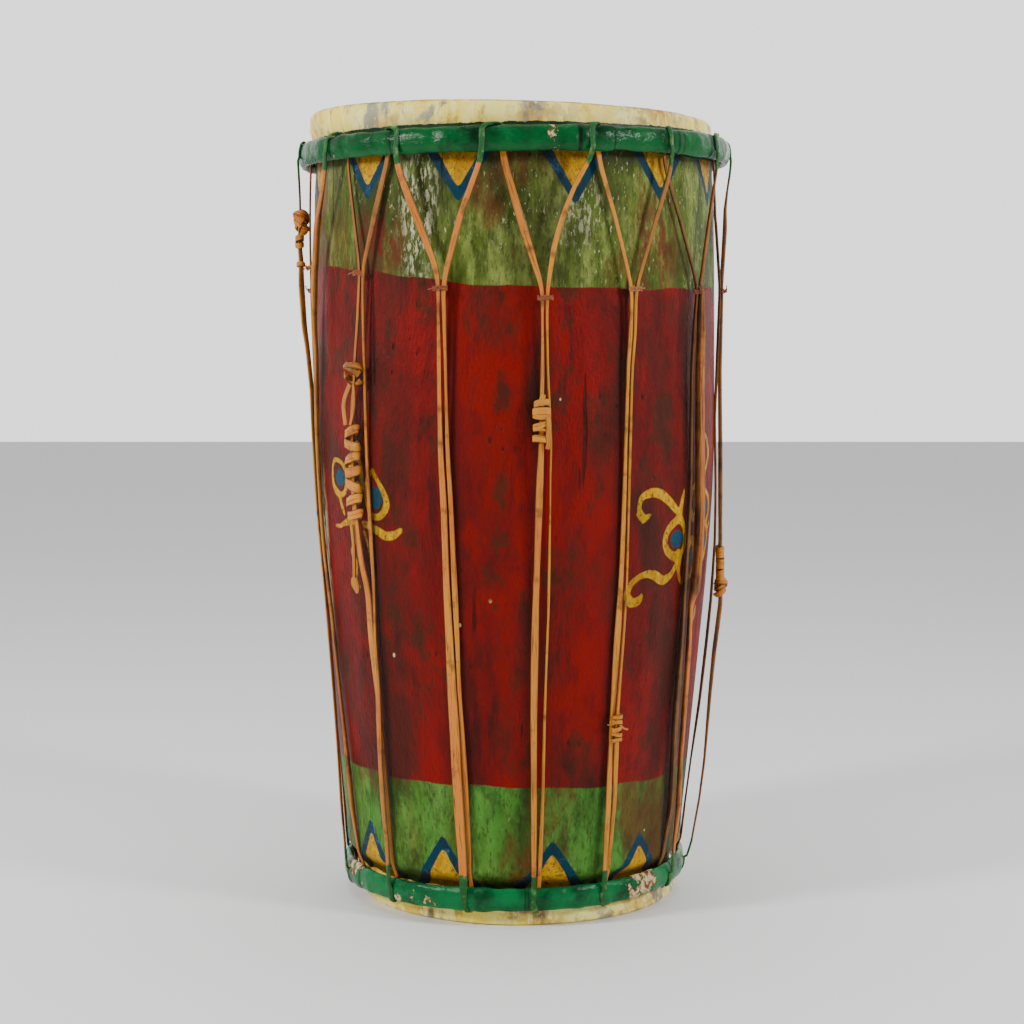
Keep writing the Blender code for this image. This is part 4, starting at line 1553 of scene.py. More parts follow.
# How far a slack strand stands off its taut run, below zero where it lies closer in: height and
# distance in millimetres.
LIFTS: dict[tuple[int, Side], tuple[Couple, ...]] = {
    (1, LEFT): ((400, 0), (448, 3), (479, 3.2), (511, 3.4), (533, 2.2), (550, 1), (575, 0)),
    (2, RIGHT): ((60, 0), (90, 1.4), (215, 1.4), (260, 0)),
    (7, LEFT): (
        (39, -0.7), (71, -0.2), (104, 0.7), (136, 1.8), (153, 2.5), (193, 3.2), (233, 3.6),
        (279, 2.9), (338, 0.2), (377, -1.9), (479, -2.1), (535, -2.8), (570, 0),
    ),
    (7, RIGHT): (
        (20, -1), (27, 1.2), (38, 3.3), (71, 5.8), (103, 6.6), (136, 5.8), (160, 5.2), (192, 4.8),
        (230, 5.7), (276, 1.7), (352, 0), (415, -1.9), (479, -1.2), (540, -3), (570, -0.5),
    ),
}


@dataclass(frozen=True)
class KnotPlan:
    """Where two lengths of rattan are joined, as the frame has it."""

    pair: int
    side: Side
    drop: float
    turns: int
    aside: float


@dataclass
class LacingSizes:
    """Sizes of the lacing, as the frame has them."""

    arm_width: float = 0.0058
    tie_width: float = 0.0048
    foot_width: float = 0.0066
    pair_gap: float = 0.0005
    tie_standoff: float = 0.0060
    band_height: float = 0.0050
    knot_pitch: float = 0.0066
    knot_looseness: float = 0.0008
    knot_spread: float = 1.2
    front_pairs: tuple[Triple, ...] = (
        (-73.3, -73.5, 0.088), (-44.6, -44.0, 0.094), (-19.0, -14.4, 0.106), (7.8, 7.8, 0.113),
        (32.5, 32.1, 0.106), (57.1, 63.0, 0.107), (84.5, 85.0, 0.105),
    )
    back_pairs: int = 7
    back_drop: float = 0.104
    front_crossings: tuple[float, ...] = (-53.3, -34.0, -4.5, 22.2, 43.4, 69.3)
    last_crossing: float = 276.0
    behind_crossings: tuple[int, ...] = (2, 14)
    right_front_feet: tuple[int, ...] = (2, 6, 7)
    knots: tuple[KnotPlan, ...] = (
        KnotPlan(1, LEFT, 0.062, 4, 0.0),
        KnotPlan(2, LEFT, 0.249, 11, 0.0080),
        KnotPlan(4, LEFT, 0.205, 6, 0.0004),
        KnotPlan(5, RIGHT, 0.430, 4, 0.0006),
        KnotPlan(7, RIGHT, 0.325, 6, 0.0008),
    )

    def knot_reach(self) -> Couple:
        """Half sizes of a knot's coil, sideways and outward."""
        lift = self.knot_looseness + SIZES.lace / 2
        return self.foot_width / 2 * self.knot_spread + lift, SIZES.lace * self.knot_spread + lift

    def knot_range(self, knot: KnotPlan) -> Couple:
        """Lowest and highest point of a knot."""
        reach = (knot.turns + 1) * self.knot_pitch / 2
        return UPPER_HOOP.height - knot.drop - reach, UPPER_HOOP.height - knot.drop + reach


LACING = LacingSizes()


def taut(points: list[Couple]) -> list[Couple]:
    """Outer hull of points, as a tight string would run over them.

    Args:
        points: Height and radius of what it runs over.

    Returns:
        Height and radius of the points that it touches, from the lowest up.
    """
    run: list[Couple] = []
    for point in sorted(points):
        while len(run) > 1:
            (h0, r0), (h1, r1) = run[-2], run[-1]
            if (r1 - r0) * (point[0] - h0) > (point[1] - r0) * (h1 - h0):
                break
            run.pop()
        run.append(point)
    return run


@dataclass
class Pair:
    """Two strands that share a foot and a binding."""

    number: int
    tie_azimuth: float
    foot_azimuth: float
    drop: float
    left_crossing: float = 0.0
    right_crossing: float = 0.0

    @property
    def tie_height(self) -> float:
        """Height of the binding."""
        return UPPER_HOOP.height - self.drop

    @property
    def tie_radius(self) -> float:
        """Distance of the binding from the drum's axis."""
        return float(shell_radius(self.tie_height)) + LACING.tie_standoff


def lacing_pairs() -> list[Pair]:
    """Places the pairs, from the left of the front round by the right and the back.

    Returns:
        The pairs, numbered from 1.
    """
    rows = list(LACING.front_pairs)
    step = (360 + rows[0][0] - rows[-1][0]) / (LACING.back_pairs + 1)
    for i in range(1, LACING.back_pairs + 1):
        azimuth = LACING.front_pairs[-1][0] + step * i
        rows.append((azimuth, azimuth + 1.5 * math.sin(2.3 * i), LACING.back_drop))
    pairs = [Pair(i + 1, *row) for i, row in enumerate(rows)]
    crossings = list(LACING.front_crossings)
    for near, far in zip(pairs[len(crossings) :], pairs[len(crossings) + 1 :]):
        crossings.append((near.tie_azimuth + far.tie_azimuth) / 2)
    crossings.append(LACING.last_crossing)
    for i, pair in enumerate(pairs):
        pair.right_crossing = crossings[i]
        pair.left_crossing = crossings[i - 1] - (0 if i else 360)
    return pairs


@dataclass
class Strand:
    """One strand of a pair, from beside the lower hoop to beside the upper hoop."""

    pair: Pair
    side: Side
    knot: KnotPlan | None = None

    def __post_init__(self) -> None:
        """Works out which side of each hoop the strand passes."""
        for plan in LACING.knots:
            if plan.pair == self.pair.number and plan.side is self.side:
                self.knot = plan
        right = self.side is RIGHT
        above = self.pair.number if right else (self.pair.number - 2) % 14 + 1
        self.front_above = (above not in LACING.behind_crossings) == right
        self.front_below = (self.pair.number in LACING.right_front_feet) == right
        aside = math.degrees((LACING.arm_width + LACING.pair_gap) / 2 / UPPER_HOOP.radius)
        crossing = self.pair.right_crossing if right else self.pair.left_crossing
        self.crossing = crossing - self.side.value * aside
        self.seen = STRANDS.get((self.pair.number, self.side), ())
        if self.seen:
            self.crossing = self.seen[-1][1]

    def seen_azimuth(self, height: float, otherwise: float) -> float:
        """Azimuth listed for the strand, evened out over 18 mm.

        Args:
            height: Height of the point.
            otherwise: Azimuth where none is listed.

        Returns:
            The azimuth.
        """
        if not self.seen:
            return otherwise
        near = height * 1000 + np.linspace(-9.0, 9.0, 7)
        return float(np.interp(near, *zip(*[(h, a) for h, a, _ in self.seen])).mean())

    def seen_lift(self, height: float) -> float:
        """How far the strand's middle stands off its taut run.

        Args:
            height: Height of the point.

        Returns:
            The distance, in metres.
        """
        slack = LIFTS.get((self.pair.number, self.side), ((0.0, 0.0),))
        thick = (float(self.seen_depth(np.array(height))) - SIZES.lace) / 2
        return float(np.interp(height * 1000, *zip(*slack))) / 1000 + thick

    def seen_width(self, height: Array) -> Array:
        """Width listed for the strand."""
        return np.interp(height * 1000, *zip(*[(h, w) for h, _, w in self.seen])) / 1000

    def seen_depth(self, height: Array) -> Array:
        """Thickness: the strands at the sides are whole canes, the others are split.

        Args:
            height: Heights of the points.

        Returns:
            The thickness at each.
        """
        if self.pair.number not in ROUND_CANE or not self.seen:
            return np.full(np.shape(height), SIZES.lace)
        fade = kept((ROUND_TO - height) / 0.03) * kept((height - ROUND_FROM) / 0.03)
        whole = np.maximum(self.seen_width(height), SIZES.lace)
        return SIZES.lace + (whole - SIZES.lace) * fade

    def place(self, height: float, radius: float, azimuth: float) -> tuple[Array, Array]:
        """Point of the strand, from its taut run.

        Args:
            height: Height of the point.
            radius: Radius of the taut run there.
            azimuth: Azimuth where none is listed.

        Returns:
            The point and the way it faces.
        """
        azimuth = self.seen_azimuth(height, azimuth)
        return polar(azimuth, radius + self.seen_lift(height), height), outward(azimuth)

    def stem_azimuth(self, height: float) -> float:
        """Azimuth of the strand between its foot and its binding.

        Args:
            height: Height of the point.

        Returns:
            The azimuth, in degrees.
        """
        pair, low = self.pair, LOWER_HOOP.height
        share = (height - low) / (pair.tie_height - low)
        half = ((1 - share) * LACING.foot_width + share * LACING.tie_width + LACING.pair_gap) / 2
        push = self.side.value * half
        if self.knot:
            low_end, high_end = LACING.knot_range(self.knot)
            top = pair.tie_height - LACING.band_height
            if high_end < top:
                above = (top - height) / (top - high_end)
                below = (height - low) / (low_end - low)
                coil = LACING.knot_reach()[0] + SIZES.lace / 2 + SIZES.gap
                coil += self.knot.aside - LACING.pair_gap - LACING.foot_width / 2
                push += self.side.value * coil * min(max(min(above, below), 0.0), 1.0)
        middle = (1 - share) * pair.foot_azimuth + share * pair.tie_azimuth
        return middle + math.degrees(push / float(shell_radius(height)))

    def stem(self) -> Route:
        """Runs the strand from the lower hoop to the binding, over the belly.

        Returns:
            The route.
        """
        pair = self.pair
        top = pair.tie_height - LACING.band_height
        heights = [h for h in np.arange(LOWER_SHOULDER[0], top, 0.004) if h > LOWER_SHOULDER[0]]
        start = LOWER_HOOP.on_section(0.15 if self.front_below else math.pi, LACE_LIFT)
        run = [(h, clear_radius(h, LACE_LIFT)) for h in heights if self.front_below is False or h > 0.045]
        run.append((start[1], start[0]))
        if self.knot and LACING.knot_range(self.knot)[1] < top:
            depth = LACING.knot_reach()[1] + LACE_LIFT
            low, high = LACING.knot_range(self.knot)
            run += [(h, clear_radius(h, depth)) for h in (low, (low + high) / 2, high)]
        run = taut([*run, (top, pair.tie_radius)])
        levels, radii = zip(*run)
        route = Route()
        for height in np.linspace(levels[0] + 0.002, pair.tie_height, 110):
            azimuth = self.stem_azimuth(min(height, top))
            radius = float(np.interp(height, levels, radii))
            route.add(*self.place(height, radius, azimuth))
        return route

    def arm(self) -> Route:
        """Runs the strand from the binding to beside the upper hoop.

        Returns:
            The route.
        """
        pair = self.pair
        low = pair.tie_height + LACING.band_height
        radius, high = UPPER_HOOP.on_section(-0.15 if self.front_above else math.pi, LACE_LIFT)
        high += UPPER_HOOP.slant * polar(self.crossing, radius, 0)[0]
        start = self.stem_azimuth(pair.tie_height - LACING.band_height)
        heights = np.arange(low, high - 0.004, 0.004)[1:]
        over = [(h, clear_radius(h, LACE_LIFT)) for h in heights]
        run = taut([(low, pair.tie_radius), (high, radius), *over])
        levels, radii = zip(*run)
        route = Route()
        for share in np.linspace(0, 1, 30)[:-1]:
            height = low + (high - low) * share
            azimuth = start + (self.crossing - start) * share
            route.add(*self.place(height, float(np.interp(height, levels, radii)), azimuth))
        return route

    def upright(self) -> Route:
        """The whole strand between the hoops."""
        return self.stem().joined(self.arm())

    def at_height(self, height: float) -> tuple[Array, Array, Array, Array]:
        """Finds the strand at a height.

        Args:
            height: The height.

        Returns:
            The point, the way the strand runs there, the way out and the way to the side.

        Raises:
            ValueError: If the strand doesn't reach that height.
        """
        route = self.upright()
        for i, (low, high) in enumerate(zip(route.points, route.points[1:])):
            if low[2] <= height < high[2]:
                share = (height - low[2]) / (high[2] - low[2])
                face = unit(route.faces[i] * (1 - share) + route.faces[i + 1] * share)
                along = unit(high - low)
                return low + (high - low) * share, along, face, unit(np.cross(along, face))
        raise ValueError(f"no stretch of the strand at {height:.4f}")


def hoop_turn(hoop: HoopSizes, start: Couple, end: Couple, steps: int) -> Route:
    """Part of the lace's turn round a hoop.

    Args:
        hoop: The hoop it turns round.
        start: Angle round the oval in radians, and azimuth, where it starts.
        end: The same where it ends.
        steps: Number of points.

    Returns:
        The route, facing away from the hoop.
    """
    route = Route()
    pressed_in = 0.0014
    lift = LACE_LIFT - pressed_in
    sweep_round = float(wrapped(end[1] - start[1]))
    for share in np.linspace(0, 1, steps):
        angle = start[0] + (end[0] - start[0]) * share
        azimuth = start[1] + sweep_round * float(half_cosine(share * 1.6 - 0.3))
        radius, height = hoop.on_section(angle, lift)
        point = polar(azimuth, radius, height)
        point[2] += hoop.slant * point[0]
        out = (hoop.depth * math.cos(angle), hoop.width * math.sin(angle))
        route.add(point, outward(azimuth) * out[0] + np.array((0, 0, out[1])))
    return route


@dataclass
class Lace:
    """A length of split rattan: up one strand, over the upper hoop and down the next."""

    rising: Strand
    falling: Strand
    seed: int
    front_fullness: float = 1.04
    back_fullness: float = 0.74

    def route(self) -> tuple[Route, Array]:
        """Works out the whole route.

        Returns:
            The route, and how many points each of its five parts has.
        """
        up, down = self.rising, self.falling
        over = hoop_turn(
            UPPER_HOOP,
            (-0.1 if up.front_above else math.pi, up.crossing),
            (math.pi if up.front_above else -0.1, down.crossing),
            26,
        )
        parts = [self.foot(up), up.upright(), over]
        parts += [down.upright().reversed(), self.foot(down).reversed()]
        route = Route()
        for part in parts:
            route = route.joined(part)
        return route, np.array([len(part.points) for part in parts])

    def foot(self, strand: Strand) -> Route:
        """Runs the lace from under the lower hoop to beside it.

        Args:
            strand: The strand that it leads to.

        Returns:
            The route.
        """
        pair = strand.pair
        azimuth = strand.seen_azimuth(LOWER_HOOP.height, strand.stem_azimuth(LOWER_HOOP.height))
        end = 0.1 if strand.front_below else -math.pi
        under = (pair.foot_azimuth + azimuth) / 2 if strand.seen else pair.foot_azimuth
        return hoop_turn(LOWER_HOOP, (-math.pi / 2, under), (end, azimuth), 12)

    def build(self, material: Material) -> Piece:
        """Builds the strip with its uneven width, joints and painted ends.

        Args:
            material: Its finish.

        Returns:
            The lace.
        """
        route, counts = self.route()
        faces = self.facing(route, counts)
        route = Route(route.points, list(faces))
        points = np.array(route.points)
        rng = np.random.default_rng(self.seed)
        run = route.frames()[3]
        share = run / run[-1]
        wave = Ripple(self.seed, 9, 4, 26)(share * np.pi)
        width = self.widths(points, counts) * (1 + 0.07 * wave)
        depth = SIZES.lace * (0.94 + 0.06 * Ripple(self.seed + 1, 6, 3, 18)(share * np.pi))
        joint = np.zeros(len(points))
        for at in rng.uniform(0.06, 0.94, 5):
            near = np.exp(-(((run - at * run[-1]) / 0.0016) ** 2))
            joint = np.maximum(joint, near)
            width = width * (1 + 0.10 * np.exp(-(((run - at * run[-1]) / 0.004) ** 2)))
        z = points[:, 2]
        top = UPPER_HOOP.bottom
        starts = np.concatenate([[0], np.cumsum(counts)])
        painted = kept((z - top) / 0.004)
        worn = kept((z - UPPER_HOOP.height) / 0.01) * 0.35
        weathered = np.full(len(points), float(np.clip(rng.normal(0.05, 0.1), 0, 0.4)))
        for first, last, strand in ((0, 2, self.rising), (3, 5, self.falling)):
            block = slice(starts[first], starts[last])
            above = kept((z[block] - top + 0.012) / 0.010) * strand.front_above
            below = kept((0.046 - z[block]) / 0.010) * strand.front_below
            painted[block] = np.maximum(above, below)
            # Listed darkening of a strand: partly grey weathering, partly painted shade where it lies in
            # shadow.
            dulled_and_shaded = DULLED_AND_SHADED.get((strand.pair.number, strand.side))
            depth[block] *= strand.seen_depth(z[block]) / SIZES.lace
            if dulled_and_shaded:
                weathered[block] = np.interp(z[block] * 1000, *zip(*dulled_and_shaded))
            if (strand.pair.number, strand.side) == SCARF_STRAND:
                scarf = np.exp(-(((z[block] - SCARF_HEIGHT) / 0.008) ** 2))
                width[block] *= 1 + 0.35 * scarf
                joint[block] = np.maximum(joint[block], scarf)
        builder = MeshBuilder(*STRIP_LAYERS)
        sweep(
            builder, route, width, depth, Section.SPLIT, 10,
            tone=float(rng.uniform(-0.5, 1.0)), joint=joint, paint=painted - worn,
            weathered=weathered,
        )
        return builder.build(f"lace_{self.rising.pair.number:02d}", material)

    def facing(self, route: Route, counts: Array) -> Array:
        """Ways out along the route, flipped behind the hoops so that the strip doesn't twist.

        Args:
            route: The whole route.
            counts: How many points each part has.

        Returns:
            One vector for each point.
        """
        faces = np.array(route.faces)
        ends = np.cumsum(counts)
        up, down = self.rising, self.falling
        if not up.front_below:
            faces[: ends[0]] *= -1
        if not up.front_above:
            faces[ends[1] : ends[2]] *= -1
        for i in range(1, len(faces)):
            if float(np.dot(faces[i - 1], faces[i])) < -0.2:
                faces[i] *= -1
        return faces

    def widths(self, points: Array, counts: Array) -> Array:
        """Width of the strip, evened out over seven points.

        Args:
            points: Points of the route.
            counts: How many points each part has.

        Returns:
            The width at each point.
        """
        starts = np.concatenate([[0], np.cumsum(counts)])
        width = np.full(len(points), LACING.arm_width)
        for part, strand in ((1, self.rising), (3, self.falling)):
            block = slice(starts[part], starts[part + 1])
            z = points[block, 2]
            tie = strand.pair.tie_height
            stem = LACING.foot_width + (LACING.tie_width - LACING.foot_width) * (z / tie)
            spread = kept((z - tie) / 0.05)
            arm = LACING.tie_width + (LACING.arm_width - LACING.tie_width) * spread
            fullness = self.front_fullness if strand.front_below else self.back_fullness
            width[block] = np.where(z < tie, stem, arm) * fullness
            if strand.seen:
                width[block] = strand.seen_width(z)
        width[: starts[1]] = 0.0046 if self.rising.front_below else 0.0040
        width[starts[4] :] = 0.0046 if self.falling.front_below else 0.0040
        width[starts[2] : starts[3]] = 0.0042
        padded = np.pad(width, 3, mode="edge")
        return np.convolve(padded, np.full(7, 1 / 7), mode="valid")


@dataclass
class Binding:
    """Fine cane wound round a pair at the neck of its Y, with short loose ends."""

    pair: Pair

    def build(self, material: Material) -> Piece:
        """Builds the windings, the knot in front and the ends.

        Args:
            material: Its finish.

        Returns:
            The binding.
        """
        pair = self.pair
        rng = np.random.default_rng(400 + pair.number)
        centre = polar(pair.tie_azimuth, pair.tie_radius, pair.tie_height)
        side, out = polar(pair.tie_azimuth + 90, 1, 0), outward(pair.tie_azimuth)
        up = np.array((0, 0, 1.0))
        half_w = LACING.tie_width + LACING.pair_gap / 2 + 0.0004
        half_d = SIZES.lace / 2 + 0.0005
        builder = MeshBuilder(*STRIP_LAYERS)
        turns, per_turn, route = 3, 16, Route()
        for i in range(turns * per_turn + 1):
            angle = 2 * np.pi * i / per_turn
            squash = 1 + 0.05 * math.sin(3.1 * i)
            ring = side * half_w * math.cos(angle) + out * half_d * squash * math.sin(angle)
            lift = up * (0.0016 * (i / (turns * per_turn) - 0.5) * 2 + 0.0005 * math.sin(angle * 2))
            route.add(centre + ring + lift, ring)
        values = {"tone": float(rng.uniform(-0.6, 0.4)), "weathered": 0.1}
        sweep(builder, route, 0.0013, 0.0011, Section.ROUND, 6, **values)
        front = centre + out * (half_d + 0.0008)
        knot = [
            front + side * 0.0016,
            front + up * 0.0014 + out * 0.001,
            front - side * 0.0016,
            front - up * 0.0014,
        ]
        self.cord(builder, [*knot, front + side * 0.001 + out * 0.0008], 0.0014, out, values)
        for sign in (-1, 1):
            reach, lift = rng.uniform(0.004, 0.008), rng.uniform(-0.003, 0.004)
            tip = front + side * sign * reach + up * lift + out * rng.uniform(0.0, 0.002)
            bend = front + side * sign * reach * 0.5 + up * (lift * 0.2) + out * 0.0012
            self.cord(builder, [front, bend, tip], 0.0010, out, values)
        return builder.build(f"binding_cane_{pair.number:02d}", material)

    def cord(
        self,
        builder: MeshBuilder,
        points: list[Array],
        width: float,
        face: Array,
        values: dict[str, float],
    ) -> None:
        """Adds a short smooth cord.

        Args:
            builder: Where the mesh goes.
            points: Points that it passes through.
            width: Its width.
            face: The way it faces.
            values: Tone and wear.
        """
        route = Route()
        for point in smooth_curve(points, 5):
            route.add(point, face)
        sweep(builder, route, width, width * 0.8, Section.ROUND, 6, **values)


@dataclass(frozen=True)
class Wrap:
    """One loop of strip round a strand, in millimetres.

    Its height, how far it reaches to either side, how much higher its right side sits, and
    how wide the strip is.
    """

    height: float
    half: float
    tilt: float
    width: float


Strip = tuple[Route, float, float, Section]


@dataclass
class Knot:
    """A joint in the rattan: loops of strip, hitches, and loose pieces of strip."""

    number: int
    strand: Strand
    wraps: tuple[Wrap, ...] = ()
    hitches: tuple[Triple, ...] = ()
    strips: tuple[tuple[float, tuple[Triple, ...]], ...] = ()

    def build(self, material: Material) -> Piece:
        """Builds all parts of the knot in one mesh.

        Args:
            material: Its finish.

        Returns:
            The knot.
        """
        rng = np.random.default_rng(700 + self.number)
        builder = MeshBuilder(*STRIP_LAYERS)
        parts = [self.wrap(wrap) for wrap in self.wraps]
        parts += [self.hitch(*hitch) for hitch in self.hitches]
        parts += [self.strip(*strip) for strip in self.strips]
        for part in parts:
            values = {"tone": float(rng.uniform(0.1, 1.0)), "weathered": float(rng.uniform(0.0, 0.22))}
            for route, width, depth, section in part:
                sweep(builder, route, width, depth, section, 10, **values)
        return builder.build(f"joining_knot_{self.number:02d}", material)

    def spot(self, across: float, height: float, off: float) -> tuple[Array, Array]:
        """Point beside the strand.

        Args:
            across: Millimetres to the side.
            height: Height in millimetres.
            off: Millimetres off the strand.

        Returns:
            The point and the way out.
        """
        centre, _, out, side = self.strand.at_height(height / 1000)
        return centre + side * across / 1000 + out * off / 1000, out

    def wrap(self, wrap: Wrap) -> list[Strip]:
        """Lays one loop; it starts and ends behind the strand.

        Args:
            wrap: The loop.

        Returns:
            Its strip.
        """
        centre, along, out, side = self.strand.at_height(wrap.height / 1000)
        route = Route()
        for angle in np.radians(np.linspace(-90, 270, 25)):
            ring = side * wrap.half * math.cos(angle) + out * 2.7 * math.sin(angle)
            shift = 0.5 * wrap.tilt * math.cos(angle) + 0.4 * math.sin(2 * angle + wrap.height)
            route.add(centre + (ring + along * shift) / 1000, ring)
        return [(route, wrap.width / 1000, 0.0016, Section.FLAT)]

    def hitch(self, height: float, size: float, off: float) -> list[Strip]:
        """Ties an overhand knot of strip that is drawn tight.

        Args:
            height: Height of its middle, in millimetres.
            size: Its size against a plain hitch.
            off: How far its middle lies off the strand, in millimetres.

        Returns:
            Its strips.
        """
        strips = []
        centre, along, out, side = self.strand.at_height(height / 1000)
        for phase in (0.0, 2.1, 4.2):
            route = Route()
            for angle in np.linspace(phase, phase + 4.4, 22):
                spot = side * 4.6 * math.cos(angle) + out * (2.8 * math.sin(angle) + off)
                spot = (spot + along * 4.6 * math.sin(angle * 0.5 + phase)) * size / 1000
                route.add(centre + spot, spot)
            strips.append((route, 0.0042 * size, 0.0019 * size, Section.SPLIT))
        return strips

    def strip(self, width: float, points: tuple[Triple, ...]) -> list[Strip]:
        """Lays a loose piece of strip.

        Args:
            width: Its width, in millimetres.
            points: Millimetres across, up and off the strand.

        Returns:
            Its strip.
        """
        spots = [self.spot(*point) for point in points]
        route = Route()
        for place in smooth_curve([place for place, _ in spots], 8):
            route.add(place, spots[len(spots) // 2][1])
        return [(route, width / 1000, min(width * 0.6, 2.0) / 1000, Section.SPLIT)]


# What each knot is made of, in millimetres above the underside and in width; the second number
# of a hitch is its size against a plain one.
KNOT_PARTS: dict[int, dict[str, tuple]] = {
    1: {
        "wraps": (Wrap(517, 4.6, 1.4, 4.4), Wrap(512, 4.6, -1.4, 4.4), Wrap(497, 4.2, 0.6, 3.8)),
        "hitches": ((530, 1.5, -1.0), (526.5, 1.25, -0.6)),
    },
    2: {
        "wraps": (
            Wrap(371, 6.6, 4.0, 7.0), Wrap(361, 7.4, -2.5, 7.6), Wrap(351, 7.0, 4.0, 7.0),
            Wrap(341, 7.6, 2.5, 7.4), Wrap(331, 7.0, -3.5, 7.6), Wrap(320, 7.6, 3.0, 7.4),
            Wrap(309, 7.2, 1.5, 7.0),
        ),
        "hitches": ((414, 1.45, 1.0),),
        "strips": (
            (4.8, ((-2.0, 406, 2.0), (-6.6, 391, 2.6), (-3.0, 376, 3.2))),
            (3.2, ((2.0, 406, 2.0), (4.6, 391, 2.2), (2.0, 376, 2.8))),
            (3.4, (
                (-2.5, 302, 2.6), (-3.6, 286, 2.0), (-7.0, 272, 1.6), (-9.6, 262, 1.8),
                (-8.4, 252, 3.0), (-5.6, 255, 3.6), (-6.2, 263, 3.4),
            )),
        ),
    },
    3: {
        "wraps": (
            Wrap(394, 5.0, 2.0, 5.2), Wrap(388, 6.0, 0.6, 5.8), Wrap(384, 5.8, -1.0, 4.0),
            Wrap(379.5, 5.6, 5.0, 2.4), Wrap(377, 5.6, 2.6, 2.4), Wrap(374.5, 5.4, 0.2, 2.2),
            Wrap(368, 5.9, -0.6, 5.2),
        ),
        "strips": (
            (4.0, ((4.4, 384, 3.0), (4.9, 377, 3.6), (4.6, 370, 3.0))),
            (4.2, ((-1.0, 392, 2.6), (0.6, 400, 2.0))),
            (3.4, ((4.2, 371, 3.0), (4.9, 365, 3.0), (4.0, 361, 2.4))),
        ),
    },
    4: {
        "wraps": (
            Wrap(160, 3.4, 1.2, 3.2), Wrap(156, 3.4, -1.2, 3.2), Wrap(151, 3.7, 1.2, 3.4),
            Wrap(146.5, 3.4, -1.0, 3.2), Wrap(142.5, 3.4, 0.6, 3.0),
        ),
        "strips": (
            (1.6, ((0.5, 154, 2.6), (4.0, 151, 3.0), (8.0, 149.5, 2.6))),
            (0.8, ((-2.5, 156, 2.0), (-6.0, 155, 3.2), (-10.5, 155.5, 3.0))),
            (0.7, ((-2.5, 157, 2.0), (-6.0, 158, 3.0), (-9.0, 157, 3.4))),
        ),
    },
    5: {
        "wraps": (
            Wrap(273, 3.8, 1.6, 5.0), Wrap(268.5, 4.0, -1.0, 5.0), Wrap(264, 4.1, 1.6, 5.0),
            Wrap(259.5, 4.2, -0.6, 5.0), Wrap(255, 4.1, 1.4, 5.0), Wrap(250.5, 4.3, -1.0, 5.0),
        ),
        "hitches": ((242, 1.3, 0.2), (245, 1.1, 0.0)),
    },
}


@dataclass
class Studio:
    """Pale floor, soft lights and the camera."""

    eye: Triple = (-0.0016, -1.65, 0.442)
    pitch: float = 4.87
    lens: float = 72.8

    def build(self) -> None:
        """Builds the stage round the drum."""
        bpy.ops.mesh.primitive_plane_add(size=14, location=(0, 0, -0.0004))
        floor = bpy.context.object
        floor.name = "floor"
        floor.data.materials.append(PaleFloor().material())
        world = bpy.data.worlds.new("studio")
        bpy.context.scene.world = world
        world.use_nodes = True
        background = world.node_tree.nodes["Background"]
        background.inputs["Color"].default_value = (1.0, 1.0, 1.0, 1.0)
        nodes, links = world.node_tree.nodes, world.node_tree.links
        split, fade = nodes.new("ShaderNodeSeparateXYZ"), nodes.new("ShaderNodeMapRange")
        links.new(nodes.new("ShaderNodeTexCoord").outputs["Generated"], split.inputs[0])
        links.new(split.outputs["Y"], fade.inputs["Value"])
        for name, end in zip(RANGE_ENDS, (-0.2, 0.8, 0.24, 1.75), strict=True):
            fade.inputs[name].default_value = end
        links.new(fade.outputs[0], background.inputs["Strength"])
        self.area("left_key", (-1.75, -1.05, 1.25), size=0.36, power=38)
        self.area("right_key", (1.75, -1.05, 1.15), size=0.36, power=31)
        self.area("top", (0.0, -0.4, 2.4), size=1.4, power=12)
        self.camera()

    def area(self, name: str, place: Triple, size: float, power: float) -> None:
        """Adds a soft box that looks at the middle of the drum.

        Args:
            name: Its name.
            place: Where it stands.
            size: Length of its side.
            power: Power in watts.
        """
        light = bpy.data.lights.new(name, "AREA")
        light.size = size
        light.energy = power
        lamp = bpy.data.objects.new(name, light)
        lamp.location = place
        aim = Vector((0, 0, SIZES.height / 2)) - Vector(place)
        lamp.rotation_euler = aim.to_track_quat("-Z", "Y").to_euler()
        bpy.context.scene.collection.objects.link(lamp)

    def camera(self) -> None:
        """Adds the camera at the photograph's viewing angle."""
        data = bpy.data.cameras.new("camera")
        data.lens = self.lens
        data.sensor_width = 36.0
        camera = bpy.data.objects.new("camera", data)
        camera.location = self.eye
        camera.rotation_euler = (math.radians(90 - self.pitch), 0, 0)
        bpy.context.scene.collection.objects.link(camera)
        bpy.context.scene.camera = camera


def settle(piece: Piece, slot: str, *nodes: str) -> None:
    """Makes a piece ride on the drum in place of its frame nodes.

    Args:
        piece: The piece.
        slot: Not used.
        nodes: The frame nodes that it stands for.
    """
    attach(piece, BODY)
    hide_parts(*nodes)
    LOG.info("%s stands for %s", piece.name, ", ".join(nodes))


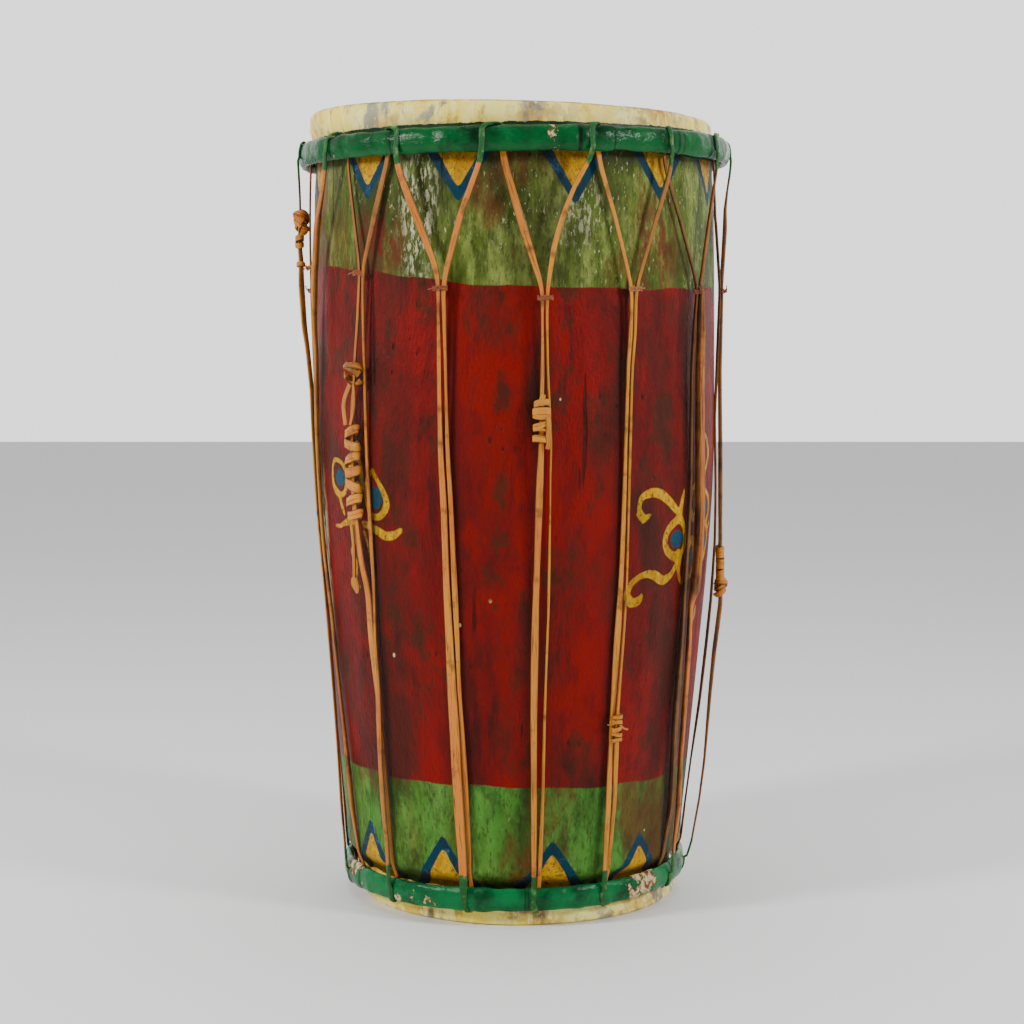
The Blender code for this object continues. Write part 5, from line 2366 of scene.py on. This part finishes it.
def main() -> None:
    """Builds every piece in order."""
    Studio().build()
    settle(Shell().build(), "painted_wood", "shell")
    settle(Head("upper_skin", upper=True, hoop=UPPER_HOOP).build(), "rawhide", "upper_head")
    lower_skin = Head("lower_skin", upper=False, hoop=LOWER_HOOP, edge_bend=0.0026)
    settle(lower_skin.build(), "rawhide", "lower_head")
    upper = Hoop(
        "upper_cane_hoop",
        UPPER_HOOP,
        collars=(
            Collar(-58, 4.0, 0.0002), Collar(-8, 24.0, 0.0004), Collar(21.0, 4.5, 0.0007),
            Collar(47, 1.0, 0.0003), Collar(62, 0.8, 0.0003), Collar(66, 0.8, 0.0003),
            Collar(-84, 1.6, 0.0003), Collar(-78, 0.4, -0.0003), Collar(140, 5.0, 0.0006),
            Collar(205, 14.0, 0.0004),
        ),
        chips=((10.0, 2.0, 0.8), (-55.0, 5.0, 0.35), (-88.0, 8.0, 0.55), (160.0, 10.0, 0.6)),
        seed=51,
        slimmer=0.0009,
    )
    settle(upper.build(HoopPaint()), "hoop_paint", "upper_hoop")
    lower = Hoop(
        "lower_cane_hoop",
        LOWER_HOOP,
        collars=(
            Collar(-70, 8.0, 0.0004), Collar(4, 0.6, 0.0003), Collar(70, 6.0, 0.0005),
            Collar(190, 6.0, 0.0005),
        ),
        chips=(
            (47.0, 9.0, 1.0), (-66.0, 9.0, 0.8), (-40.0, 5.0, 0.55), (-30.0, 9.0, 0.5),
            (120.0, 12.0, 0.8),
        ),
        seed=61,
    )
    lower_paint = HoopPaint(green=tint(14, 108, 56), dark=tint(3, 48, 24))
    settle(lower.build(lower_paint), "hoop_paint", "lower_hoop")

    rattan = Rattan().material()
    cane = Rattan(
        "binding_cane", tan=tint(168, 98, 58), gold=tint(190, 124, 82), rust=tint(128, 58, 32), gloss=0.5
    ).material()
    pairs = lacing_pairs()
    strands = {(p.number, side): Strand(p, side) for p in pairs for side in Side}
    for pair in pairs:
        follower = pair.number % len(pairs) + 1
        rising, falling = strands[pair.number, RIGHT], strands[follower, LEFT]
        lace = Lace(rising, falling, seed=100 + 7 * pair.number)
        nodes = (f"strand_{pair.number:02d}_right", f"strand_{follower:02d}_left")
        settle(lace.build(rattan), "rattan", *nodes)
        settle(Binding(pair).build(cane), "binding_cane", f"binding_{pair.number:02d}")
    for number, plan in enumerate(LACING.knots, 1):
        knot = Knot(number, strands[plan.pair, plan.side], **KNOT_PARTS[number])
        settle(knot.build(rattan), "rattan", f"knot_{number:02d}")


if __name__ == "__main__":
    logging.basicConfig(level=logging.INFO, format="%(message)s")
    main()
